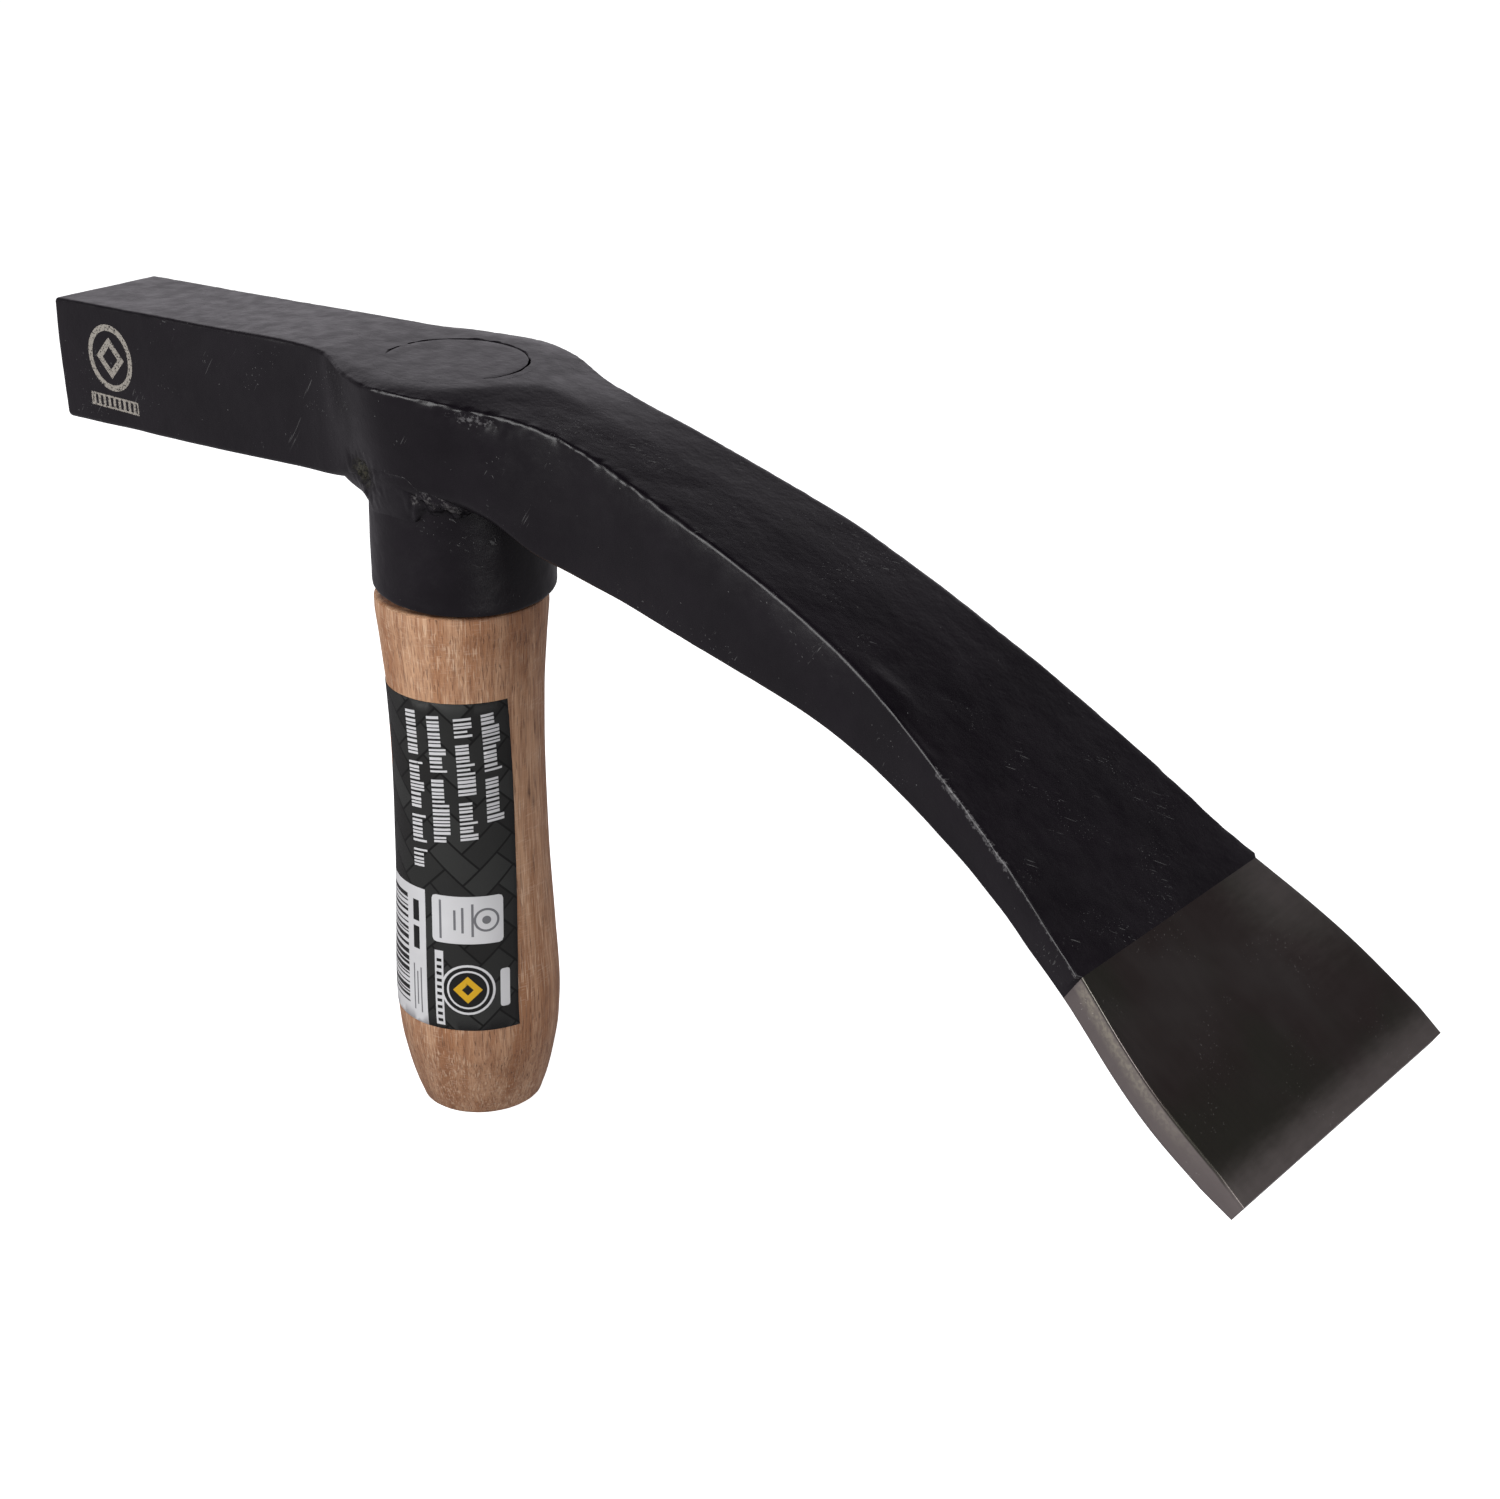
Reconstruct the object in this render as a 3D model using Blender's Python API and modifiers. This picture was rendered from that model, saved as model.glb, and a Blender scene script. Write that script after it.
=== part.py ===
"""Brick hammer: a forged steel head welded to a tubular socket on a turned wooden handle.

The origin is the centre of the handle's flat butt. +Z runs up the handle, +X runs along the
head towards the blade, and Y runs across the head, which is symmetric about Y = 0.
Lengths in the tables below are millimetres; the model itself is in metres.
"""
import math

import bmesh
import bpy
from mathutils import Matrix, Vector

MM = 0.001
GAP = 0.3                      # clearance between pieces that touch

# Handle: a turned piece whose tenon fills the socket and the eye.
HANDLE_OUTLINE = [             # height above the butt, radius
    (0.0, 12.4),
    (4.0, 13.8),
    (10.0, 15.3),
    (17.0, 16.5),
    (25.0, 16.9),
    (40.0, 16.3),
    (57.0, 15.6),
    (77.0, 15.3),
    (91.0, 15.6),
    (102.0, 16.4),
    (109.0, 17.1),
]
BUTT_CHAMFER = 1.0
SHOULDER_HEIGHT = 111.7
SHOULDER_RADIUS = 17.2
SHOULDER_CHAMFER = 0.5
TENON_TOP = 151.0
TENON_CHAMFER = 1.0

# Socket: a length of steel tube.
TUBE_RADIUS = 17.7
TUBE_BORE = 15.0
RIM_HEIGHT = 113.9             # the lower rim is cut slightly out of square
RIM_TILT = 5.5                 # degrees
RIM_LOW_SIDE = -25.0           # degrees from +X, where the rim is lowest

# Head seen from the side: matched points on its top and bottom lines.
HEAD_SIDE = [                  # top x, top z, bottom x, bottom z
    (-104.0, 156.1, -103.2, 130.6),
    (-62.0, 157.5, -61.2, 132.0),
    (-26.0, 158.8, -25.4, 133.6),
    (0.0, 159.1, 0.0, 134.9),
    (12.0, 158.5, 11.5, 135.0),
    (24.0, 156.7, 21.5, 133.4),
    (41.0, 153.0, 36.2, 128.5),
    (62.0, 146.6, 57.0, 124.7),
    (82.4, 139.8, 77.5, 120.7),
    (101.0, 132.0, 95.6, 116.9),
    (116.5, 123.8, 110.7, 112.1),
    (131.3, 114.2, 126.5, 105.7),
    (147.0, 103.2, 143.0, 97.1),
    (154.0, 97.7, 150.2, 92.3),
    (161.0, 92.7, 157.6, 87.6),
    (177.3, 80.9, 174.2, 76.5),
    (190.3, 71.7, 187.7, 67.9),
]
CUTTING_EDGE = (194.8, 67.9, 193.1, 65.1)

# Head seen from above: distance along the head and half width.
HEAD_PLAN = [
    (-104.0, 13.2),
    (-30.0, 13.2),
    (-19.0, 14.5),
    (-14.5, 17.2),
    (-7.0, 20.8),
    (2.0, 23.0),
    (12.0, 21.3),
    (20.0, 18.2),
    (28.0, 15.0),
    (40.0, 13.5),
    (71.0, 15.5),
    (108.0, 17.8),
    (131.0, 21.7),
    (147.0, 24.8),
    (160.0, 28.2),
    (171.0, 31.8),
    (180.0, 33.6),
    (195.0, 34.3),
]

# Crown of the top face: how much lower its edges are than its middle.
HEAD_CROWN = [
    (-104.0, 0.0),
    (-24.0, 0.1),
    (-14.0, 0.8),
    (0.0, 1.9),
    (18.0, 1.9),
    (40.0, 0.6),
    (62.0, 0.2),
    (195.0, 0.0),
]
TOP_CORNER = 0.8               # edge radius along the top face
BOTTOM_CORNER = 1.3            # edge radius along the bottom face
BOSS_BOTTOM_CORNER = 5.0       # the same under the boss
BOSS_DRAFT = 0.14              # share of its width that the boss loses towards the bottom
POLL_EDGE = 0.9                # rounding round the striking face
GROUND_END = 160.8             # the blade is bare ground steel from here to the edge
GROUND_CUT = 1.0               # its side faces lean in by this much at the top

# Eye: the hole through the boss, closed by a disc that is welded in and ground flush.
GROUND_HEIGHT = 157.9          # ground face at the middle of the eye
GROUND_SLOPE = 2.3             # degrees, falling towards the blade
PLUG_RADIUS = 13.6
PLUG_OFFSET = 1.2              # its recess is bored this far towards the blade
PLUG_BOTTOM = TENON_TOP + GAP
PLUG_WELD_DEPTH = 2.6
RECESS_RADIUS = 15.2

# Weld between the socket and the head.
FILLET_LEG = 2.2
FILLET_EXTRA_AT_POLL = 3.7

# Wedge that spreads the tenon, and the saw cut that it is driven into.
WEDGE_LENGTH = 27.0
WEDGE_TOP_THICKNESS = 4.6
WEDGE_TOE_THICKNESS = 1.4
WEDGE_TOE = 124.0

# Paper label round the handle.
LABEL_BOTTOM = 22.3
LABEL_TOP = 93.7
LABEL_START = -170.0           # degrees from +X
LABEL_END = -16.0
LABEL_GAP = 0.2
LABEL_THICKNESS = 0.25

TURNED_STEPS = 48


def smooth_curve(points):
    """Return a function through (x, y) points that is smooth and never overshoots them."""
    xs = [p[0] for p in points]
    ys = [p[1] for p in points]
    rises = [(ys[i + 1] - ys[i]) / (xs[i + 1] - xs[i]) for i in range(len(xs) - 1)]
    slopes = [rises[0]]
    for before, after in zip(rises, rises[1:]):
        flat = before * after <= 0.0
        slopes.append(0.0 if flat else 2.0 * before * after / (before + after))
    slopes.append(rises[-1])

    def value(x):
        x = min(max(x, xs[0]), xs[-1])
        i = next(k for k in range(len(rises)) if x <= xs[k + 1])
        width = xs[i + 1] - xs[i]
        t = (x - xs[i]) / width
        start = (1.0 + 2.0 * t) * (1.0 - t) ** 2 * ys[i]
        start += t * (1.0 - t) ** 2 * width * slopes[i]
        end = t * t * (3.0 - 2.0 * t) * ys[i + 1]
        end += t * t * (t - 1.0) * width * slopes[i + 1]
        return start + end

    return value


def clamped_step(x, low, high):
    """Go smoothly from 0 at low to 1 at high."""
    t = min(max((x - low) / (high - low), 0.0), 1.0)
    return t * t * (3.0 - 2.0 * t)


handle_radius = smooth_curve(HANDLE_OUTLINE)
head_half_width = smooth_curve(HEAD_PLAN)
head_crown = smooth_curve(HEAD_CROWN)
top_height = smooth_curve([(row[0], row[1]) for row in HEAD_SIDE])
bottom_x = smooth_curve([(row[0], row[2]) for row in HEAD_SIDE])
bottom_height = smooth_curve([(row[2], row[3]) for row in HEAD_SIDE])


def ground_cut(x):
    """Say how far the side faces lean in at the top at x; the lean fades to the edge."""
    started = clamped_step(x, GROUND_END - 0.5, GROUND_END + 0.5)
    return GROUND_CUT * started * (1.0 - 0.6 * clamped_step(x, GROUND_END, CUTTING_EDGE[0]))


def boss_share(x):
    """Say how much of the boss's shape applies at x: 1 at the eye, 0 on poll and blade."""
    return clamped_step(x, -24.0, -10.0) * (1.0 - clamped_step(x, 16.0, 38.0))


# ---------------------------------------------------------------- scene and helpers

for old in list(bpy.data.objects):
    bpy.data.objects.remove(old, do_unlink=True)

parts = bpy.data.collections.new("brick_hammer")
cutters = bpy.data.collections.new("cutters")
bpy.context.scene.collection.children.link(parts)
bpy.context.scene.collection.children.link(cutters)

root = bpy.data.objects.new("brick_hammer_origin", None)
parts.objects.link(root)


def make_material(name, colour, roughness, metallic):
    material = bpy.data.materials.new(name)
    material.use_nodes = True
    shader = material.node_tree.nodes["Principled BSDF"]
    shader.inputs["Base Color"].default_value = (*colour, 1.0)
    shader.inputs["Roughness"].default_value = roughness
    shader.inputs["Metallic"].default_value = metallic
    return material


black_paint = make_material("black_paint", (0.022, 0.022, 0.024), 0.42, 0.0)
weld_paint = make_material("weld_paint", (0.030, 0.030, 0.032), 0.55, 0.0)
turned_wood = make_material("turned_wood", (0.42, 0.26, 0.16), 0.62, 0.0)
wedge_wood = make_material("wedge_wood", (0.50, 0.34, 0.20), 0.65, 0.0)
printed_paper = make_material("printed_paper", (0.055, 0.055, 0.058), 0.38, 0.0)


def add_piece(name, mesh, material):
    mesh.materials.clear()
    mesh.materials.append(material)
    piece = bpy.data.objects.new(name, mesh)
    piece.parent = root
    parts.objects.link(piece)
    return piece


def add_cutter(name, mesh):
    cutter = bpy.data.objects.new(name, mesh)
    cutter.hide_render = True
    cutter.display_type = 'WIRE'
    cutters.objects.link(cutter)
    return cutter


def cut(piece, cutter):
    modifier = piece.modifiers.new("cut_" + cutter.name, 'BOOLEAN')
    modifier.operation = 'DIFFERENCE'
    modifier.solver = 'EXACT'
    modifier.object = cutter


def shade_round(piece, degrees=35.0):
    piece.data.shade_smooth()
    piece.data.set_sharp_from_angle(angle=math.radians(degrees))


def turn(profile, closed):
    """Make the profile mesh of a turned shape. The profile is (radius, height) points."""
    mesh = bpy.data.meshes.new("profile")
    points = [(r * MM, 0.0, z * MM) for r, z in profile]
    edges = [(i, i + 1) for i in range(len(points) - 1)]
    if closed:
        edges.append((len(points) - 1, 0))
    mesh.from_pydata(points, edges, [])
    return mesh


def add_screw(piece, steps=TURNED_STEPS):
    screw = piece.modifiers.new("turn", 'SCREW')
    screw.axis = 'Z'
    screw.angle = math.tau
    screw.steps = steps
    screw.render_steps = steps
    screw.use_merge_vertices = True
    screw.merge_threshold = 0.00001
    screw.use_smooth_shade = True


def cylinder_mesh(name, radius, low, high):
    mesh = bpy.data.meshes.new(name)
    shape = bmesh.new()
    bmesh.ops.create_cone(
        shape, cap_ends=True, segments=TURNED_STEPS, radius1=radius * MM, radius2=radius * MM,
        depth=(high - low) * MM,
        matrix=Matrix.Translation((0.0, 0.0, (low + high) / 2.0 * MM)))
    shape.to_mesh(mesh)
    shape.free()
    return mesh


def block_mesh(name, size):
    """Make a block that stands on the XY plane, centred on the Z axis."""
    mesh = bpy.data.meshes.new(name)
    shape = bmesh.new()
    bmesh.ops.create_cube(shape, size=1.0, matrix=Matrix.Translation((0.0, 0.0, 0.5)))
    bmesh.ops.scale(shape, vec=Vector(size) * MM, verts=shape.verts)
    shape.to_mesh(mesh)
    shape.free()
    return mesh


def tapered_block_mesh(name, length, toe_thickness, top_thickness, toe, top):
    """Make a wedge: a block along X that is thin at its toe and thick at its top."""
    mesh = bpy.data.meshes.new(name)
    shape = bmesh.new()
    bmesh.ops.create_cube(shape, size=1.0)
    for vertex in shape.verts:
        at_top = vertex.co.z > 0.0
        thickness = top_thickness if at_top else toe_thickness
        vertex.co.x *= length * MM
        vertex.co.y *= thickness * MM
        vertex.co.z = (top if at_top else toe) * MM
    shape.to_mesh(mesh)
    shape.free()
    return mesh


# ---------------------------------------------------------------- head

def arc(centre_y, centre_v, radius, start, end, steps):
    """Points on an arc in a section, with angles in degrees."""
    points = []
    for k in range(steps + 1):
        angle = math.radians(start + (end - start) * k / steps)
        points.append((centre_y + radius * math.cos(angle), centre_v + radius * math.sin(angle)))
    return points


def head_section(x_top, inset=0.0):
    """Half of the head's section from its top middle to its bottom middle.

    Each point is (x, y, z). A section lies on the line from the top outline to the bottom
    outline, so it leans with the blade. A negative inset makes it larger all round.
    """
    x_bottom = bottom_x(x_top)
    top = Vector((x_top, top_height(x_top)))
    bottom = Vector((x_bottom, bottom_height(x_bottom)))
    if x_top > HEAD_SIDE[-1][0]:
        share = (x_top - HEAD_SIDE[-1][0]) / (CUTTING_EDGE[0] - HEAD_SIDE[-1][0])
        top = Vector(HEAD_SIDE[-1][:2]).lerp(Vector(CUTTING_EDGE[:2]), share)
        bottom = Vector(HEAD_SIDE[-1][2:]).lerp(Vector(CUTTING_EDGE[2:]), share)
    height = (top - bottom).length
    up = (top - bottom) / height
    boss = boss_share(x_top)
    crown = head_crown(x_top)
    half_top = head_half_width(top.x) - ground_cut(x_top) - inset
    half_bottom = head_half_width(bottom.x) * (1.0 - BOSS_DRAFT * boss) - inset
    thin = min(1.0, height / 14.0)
    r_top = TOP_CORNER * thin - inset * 0.5
    r_bottom = (BOTTOM_CORNER + (BOSS_BOTTOM_CORNER - BOTTOM_CORNER) * boss) * thin - inset * 0.5
    r_top = max(r_top, 0.2)
    r_bottom = max(r_bottom, 0.2)

    flat_top = half_top - r_top
    outline = []
    for k in range(5):
        y = flat_top * k / 5.0
        outline.append((y, height - inset - crown * (y / half_top) ** 2))
    edge = height - inset - crown * (flat_top / half_top) ** 2
    outline += arc(flat_top, edge - r_top, r_top, 90.0, 0.0, 3)
    side_low = inset + r_bottom
    side_high = edge - r_top
    for k in (1, 2):
        share = k / 3.0
        outline.append((half_top + (half_bottom - half_top) * share,
                        side_high + (side_low - side_high) * share))
    outline += arc(half_bottom - r_bottom, side_low, r_bottom, 0.0, -90.0, 4)
    for k in (1, 2, 3):
        outline.append(((half_bottom - r_bottom) * (1.0 - k / 3.0), inset))
    return [(bottom.x + up.x * v, y, bottom.y + up.y * v) for y, v in outline]


def head_stations():
    """Places along the top line for the head's sections, closer together at the boss."""
    places = []
    x = HEAD_SIDE[0][0] + POLL_EDGE
    while x < HEAD_SIDE[-1][0] - 1.0:
        places.append(x)
        near_boss = -30.0 < x < 40.0
        straight_poll = x < -34.0
        x += 2.0 if near_boss else 11.0 if straight_poll else 4.5
    places = [x for x in places if abs(x - GROUND_END) > 2.0]
    places += [GROUND_END - 0.5, GROUND_END + 0.5, HEAD_SIDE[-1][0], CUTTING_EDGE[0]]
    return sorted(places)


def head_mesh(name, grow=0.0):
    """Loft the half of the head on the +Y side; it is open at Y = 0 for the mirror."""
    sections = []
    poll_end = HEAD_SIDE[0][0]
    for k in range(3):
        angle = math.radians(90.0 * k / 3.0)
        inset = POLL_EDGE * (1.0 - math.sin(angle))
        place = poll_end + POLL_EDGE * (1.0 - math.cos(angle))
        shift = place - poll_end - grow
        points = head_section(poll_end, inset - grow)
        sections.append([(x + shift, y, z) for x, y, z in points])
    for place in head_stations():
        sections.append(head_section(place, -grow))
    if grow:
        sections[-1] = [(x + grow, y, z - grow) for x, y, z in sections[-1]]

    mesh = bpy.data.meshes.new(name)
    shape = bmesh.new()
    rings = [[shape.verts.new(Vector(p) * MM) for p in section] for section in sections]
    for ring, after in zip(rings, rings[1:]):
        for k in range(len(ring) - 1):
            shape.faces.new((ring[k], after[k], after[k + 1], ring[k + 1]))
    shape.faces.new(rings[0])
    shape.faces.new(list(reversed(rings[-1])))
    bmesh.ops.recalc_face_normals(shape, faces=shape.faces)
    shape.to_mesh(mesh)
    shape.free()
    return mesh


def add_mirror(piece):
    mirror = piece.modifiers.new("mirror", 'MIRROR')
    mirror.use_axis = (False, True, False)
    mirror.use_clip = True
    mirror.merge_threshold = 0.00001


head = add_piece("head", head_mesh("head"), black_paint)
add_mirror(head)
shade_round(head)

head_envelope = add_cutter("head_envelope", head_mesh("head_envelope", GAP))
add_mirror(head_envelope)

eye = add_cutter("eye", cylinder_mesh("eye", TUBE_BORE, 120.0, PLUG_BOTTOM))
recess = add_cutter(
    "plug_recess", cylinder_mesh("plug_recess", RECESS_RADIUS, PLUG_BOTTOM - 0.3, 170.0))
recess.location.x = PLUG_OFFSET * MM
ground_plane = add_cutter("ground_plane", block_mesh("ground_plane", (70.0, 70.0, 20.0)))
ground_plane.location = (0.0, 0.0, GROUND_HEIGHT * MM)
ground_plane.rotation_euler = (0.0, math.radians(GROUND_SLOPE), 0.0)

for cutter in (ground_plane, eye, recess):
    cut(head, cutter)

# ---------------------------------------------------------------- disc in the eye

plug = add_piece("eye_plug", turn([
    (0.0, GROUND_HEIGHT + 3.0),
    (PLUG_RADIUS, GROUND_HEIGHT + 3.0),
    (PLUG_RADIUS, PLUG_BOTTOM),
    (0.0, PLUG_BOTTOM),
], closed=False), black_paint)
add_screw(plug)
cut(plug, ground_plane)

plug.location.x = PLUG_OFFSET * MM

plug_weld = add_piece("eye_plug_weld", turn([
    (RECESS_RADIUS - GAP, GROUND_HEIGHT + 3.0),
    (RECESS_RADIUS - GAP, GROUND_HEIGHT - PLUG_WELD_DEPTH),
    (PLUG_RADIUS + GAP, GROUND_HEIGHT - PLUG_WELD_DEPTH),
    (PLUG_RADIUS + GAP, GROUND_HEIGHT + 3.0),
], closed=True), weld_paint)
add_screw(plug_weld)
plug_weld.location.x = PLUG_OFFSET * MM
cut(plug_weld, ground_plane)

# ---------------------------------------------------------------- socket tube

tube = add_piece("socket_tube", turn([
    (TUBE_RADIUS, 142.0),
    (TUBE_RADIUS, RIM_HEIGHT - 6.0),
    (TUBE_BORE, RIM_HEIGHT - 6.0),
    (TUBE_BORE, 142.0),
], closed=True), black_paint)
add_screw(tube)

rim_plane = add_cutter("rim_plane", block_mesh("rim_plane", (60.0, 60.0, 20.0)))
low_side = math.radians(RIM_LOW_SIDE)
tilt_axis = Vector((-math.sin(low_side), math.cos(low_side), 0.0))
rim_turn = Matrix.Rotation(math.radians(RIM_TILT), 4, tilt_axis)
rim_plane.matrix_world = (Matrix.Translation((0.0, 0.0, RIM_HEIGHT * MM)) @ rim_turn
                          @ Matrix.Rotation(math.pi, 4, 'X'))
cut(tube, rim_plane)
cut(tube, head_envelope)

# ---------------------------------------------------------------- weld round the socket

def underside_height(x, y):
    """Height of the head's underside above a point near the socket."""
    low = bottom_height(x)
    boss = boss_share(x)
    half = head_half_width(x) * (1.0 - BOSS_DRAFT * boss)
    radius = BOTTOM_CORNER + (BOSS_BOTTOM_CORNER - BOTTOM_CORNER) * boss
    beyond = min(max(abs(y) - (half - radius), 0.0), radius * 0.9)
    return low + radius - math.sqrt(radius * radius - beyond * beyond)


def weld_curve():
    curve = bpy.data.curves.new("socket_weld", 'CURVE')
    curve.dimensions = '3D'
    curve.bevel_depth = MM
    curve.bevel_resolution = 0
    curve.twist_mode = 'Z_UP'
    ring = curve.splines.new('POLY')
    ring.points.add(TURNED_STEPS - 1)
    for k, point in enumerate(ring.points):
        angle = math.tau * k / TURNED_STEPS
        x = (TUBE_RADIUS + GAP) * math.cos(angle)
        y = (TUBE_RADIUS + GAP) * math.sin(angle)
        at_poll = max(0.0, -math.cos(angle)) ** 1.5
        point.co = (x * MM, y * MM, underside_height(x, y) * MM, 1.0)
        point.radius = FILLET_LEG + FILLET_EXTRA_AT_POLL * at_poll
    ring.use_cyclic_u = True
    return curve


bead_guide = bpy.data.objects.new("bead_guide", weld_curve())
cutters.objects.link(bead_guide)
bpy.context.view_layer.update()
evaluated = bead_guide.evaluated_get(bpy.context.evaluated_depsgraph_get())
bead_mesh = bpy.data.meshes.new_from_object(evaluated)
bpy.data.objects.remove(bead_guide, do_unlink=True)

socket_weld = add_piece("socket_weld", bead_mesh, weld_paint)
shade_round(socket_weld)
tube_envelope = add_cutter(
    "tube_envelope", cylinder_mesh("tube_envelope", TUBE_RADIUS + GAP, 100.0, 150.0))
cut(socket_weld, tube_envelope)
cut(socket_weld, head_envelope)

# ---------------------------------------------------------------- handle and wedge

def handle_profile():
    """Outline of the handle from the middle of its tenon down to the middle of its butt."""
    tenon = TUBE_BORE - GAP
    profile = [
        (0.0, TENON_TOP),
        (tenon - TENON_CHAMFER, TENON_TOP),
        (tenon, TENON_TOP - TENON_CHAMFER),
        (tenon, SHOULDER_HEIGHT),
        (SHOULDER_RADIUS - SHOULDER_CHAMFER, SHOULDER_HEIGHT),
        (SHOULDER_RADIUS, SHOULDER_HEIGHT - SHOULDER_CHAMFER),
    ]
    steps = 22
    top = HANDLE_OUTLINE[-1][0]
    for k in range(steps):
        z = top + (BUTT_CHAMFER - top) * k / (steps - 1)
        profile.append((handle_radius(z), z))
    profile.append((handle_radius(BUTT_CHAMFER) - BUTT_CHAMFER, 0.0))
    profile.append((0.0, 0.0))
    return profile


handle = add_piece("handle", turn(handle_profile(), closed=False), turned_wood)
add_screw(handle)
slot = add_cutter("wedge_slot", tapered_block_mesh(
    "wedge_slot", 40.0, WEDGE_TOE_THICKNESS + 2.0 * GAP, WEDGE_TOP_THICKNESS + 2.0 * GAP,
    WEDGE_TOE - GAP, TENON_TOP + 2.0))
cut(handle, slot)

wedge = add_piece("tenon_wedge", tapered_block_mesh(
    "tenon_wedge", WEDGE_LENGTH, WEDGE_TOE_THICKNESS, WEDGE_TOP_THICKNESS - GAP,
    WEDGE_TOE, TENON_TOP), wedge_wood)

# ---------------------------------------------------------------- label

def label_mesh():
    """Patch of the handle's surface, lifted off it by the gap."""
    mesh = bpy.data.meshes.new("label")
    shape = bmesh.new()
    columns = 26
    rows = 15
    grid = []
    for row in range(rows + 1):
        z = LABEL_BOTTOM + (LABEL_TOP - LABEL_BOTTOM) * row / rows
        radius = handle_radius(z) + LABEL_GAP
        line = []
        for column in range(columns + 1):
            angle = math.radians(LABEL_START + (LABEL_END - LABEL_START) * column / columns)
            place = (radius * math.cos(angle) * MM, radius * math.sin(angle) * MM, z * MM)
            line.append(shape.verts.new(place))
        grid.append(line)
    for low, high in zip(grid, grid[1:]):
        for k in range(columns):
            shape.faces.new((low[k], low[k + 1], high[k + 1], high[k]))
    shape.to_mesh(mesh)
    shape.free()
    return mesh


label = add_piece("label", label_mesh(), printed_paper)
shell = label.modifiers.new("paper", 'SOLIDIFY')
shell.thickness = LABEL_THICKNESS * MM
shell.offset = 1.0
shade_round(label)
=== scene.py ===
"""Looks of the brick hammer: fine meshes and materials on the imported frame.

Lengths in the tables are millimetres in the frame's axes: +Z up the handle, +X along the head
towards the blade. Meshes are built in millimetres and scaled to metres as they are made.
"""

import math
import random

import bmesh
import bpy
from mathutils import Matrix, Vector, bvhtree, geometry, noise


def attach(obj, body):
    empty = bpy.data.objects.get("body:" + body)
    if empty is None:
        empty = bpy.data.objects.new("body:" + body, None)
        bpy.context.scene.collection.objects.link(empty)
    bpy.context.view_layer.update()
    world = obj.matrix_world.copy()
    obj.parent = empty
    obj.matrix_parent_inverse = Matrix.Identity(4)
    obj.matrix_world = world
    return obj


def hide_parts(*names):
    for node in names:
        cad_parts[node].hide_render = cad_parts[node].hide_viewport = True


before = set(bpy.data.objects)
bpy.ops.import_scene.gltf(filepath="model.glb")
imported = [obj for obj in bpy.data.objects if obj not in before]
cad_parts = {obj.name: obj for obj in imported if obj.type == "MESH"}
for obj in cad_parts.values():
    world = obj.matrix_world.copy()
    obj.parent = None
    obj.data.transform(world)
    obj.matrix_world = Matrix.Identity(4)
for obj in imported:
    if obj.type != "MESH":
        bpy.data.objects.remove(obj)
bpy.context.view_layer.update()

MM = 0.001

# ---------------------------------------------------------------- shapes taken over from the CAD

HEAD_SIDE = [                  # top x, top z, bottom x, bottom z
    (-104.0, 156.1, -103.2, 130.6),
    (-62.0, 157.5, -61.2, 132.0),
    (-26.0, 158.8, -25.4, 133.6),
    (0.0, 159.1, 0.0, 134.9),
    (12.0, 158.5, 11.5, 135.0),
    (24.0, 156.7, 21.5, 133.4),
    (41.0, 153.0, 36.2, 128.5),
    (62.0, 146.6, 57.0, 124.7),
    (82.4, 139.8, 77.5, 120.7),
    (101.0, 132.0, 95.6, 116.9),
    (116.5, 123.8, 110.7, 112.1),
    (131.3, 114.2, 126.5, 105.7),
    (147.0, 103.2, 143.0, 97.1),
    (154.0, 97.7, 150.2, 92.3),
    (161.0, 92.7, 157.6, 87.6),
    (177.3, 80.9, 174.2, 76.5),
    (190.3, 71.7, 187.7, 67.9),
]
CUTTING_EDGE = (194.8, 67.9, 193.1, 65.1)
HEAD_PLAN = [                  # distance along the head, half width
    (-104.0, 13.2),
    (-30.0, 13.2),
    (-19.0, 14.5),
    (-14.5, 17.2),
    (-7.0, 20.8),
    (2.0, 23.0),
    (12.0, 21.3),
    (20.0, 18.2),
    (28.0, 15.0),
    (40.0, 13.5),
    (71.0, 15.5),
    (108.0, 17.8),
    (131.0, 21.7),
    (147.0, 24.8),
    (160.0, 28.2),
    (171.0, 31.8),
    (180.0, 33.6),
    (195.0, 34.3),
]
HEAD_CROWN = [                 # how much lower the top face's edges are than its middle
    (-104.0, 0.0),
    (-24.0, 0.1),
    (-14.0, 0.9),
    (0.0, 1.9),
    (18.0, 1.9),
    (40.0, 0.6),
    (62.0, 0.2),
    (195.0, 0.0),
]
TOP_CORNER = 0.8
FAR_TOP_CORNER = 1.7           # the blade's far top edge is softer than its near one
ROLLED_SIDE = 0.75             # how far the blade's sides swell just below the ridges
BOTTOM_CORNER = 1.3
BOSS_BOTTOM_CORNER = 5.0
BOSS_DRAFT = 0.14
POLL_EDGE = 0.9
GROUND_END = 160.8             # bare ground steel from here to the cutting edge
GROUND_STEP = 0.3              # forged sides turn into ground ones within this of it
GROUND_CUT = 1.0
GROUND_HEIGHT = 158.0          # ground face over the eye
GROUND_SLOPE = 2.3             # degrees, falling towards the blade
GROUND_BLUR = 0.35             # how softly the ground face meets the forged one
EYE_RADIUS = 15.0
TENON_TOP = 151.3
PLUG_OFFSET = 1.2
PLUG_RADIUS = 13.6
RECESS_RADIUS = 15.2
RECESS_BOTTOM = 151.0
TUBE_RADIUS = 17.75
TUBE_FLARE = 0.25              # how much wider the socket is at its rim
TUBE_SHIFT = (0.60, 0.45)      # the outside of the socket is not quite true to its bore
RIM_HEIGHT = 113.9
RIM_TILT = 5.5
RIM_LOW_SIDE = -25.0
FILLET_LEG = 2.4
FILLET_EXTRA_AT_POLL = 3.6
WELD_PIT = (-8.2, -17.4, 137.7)
FAR_FROM_RIDGE = 9.0           # what the poll's face has for its distance from the ridges
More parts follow.
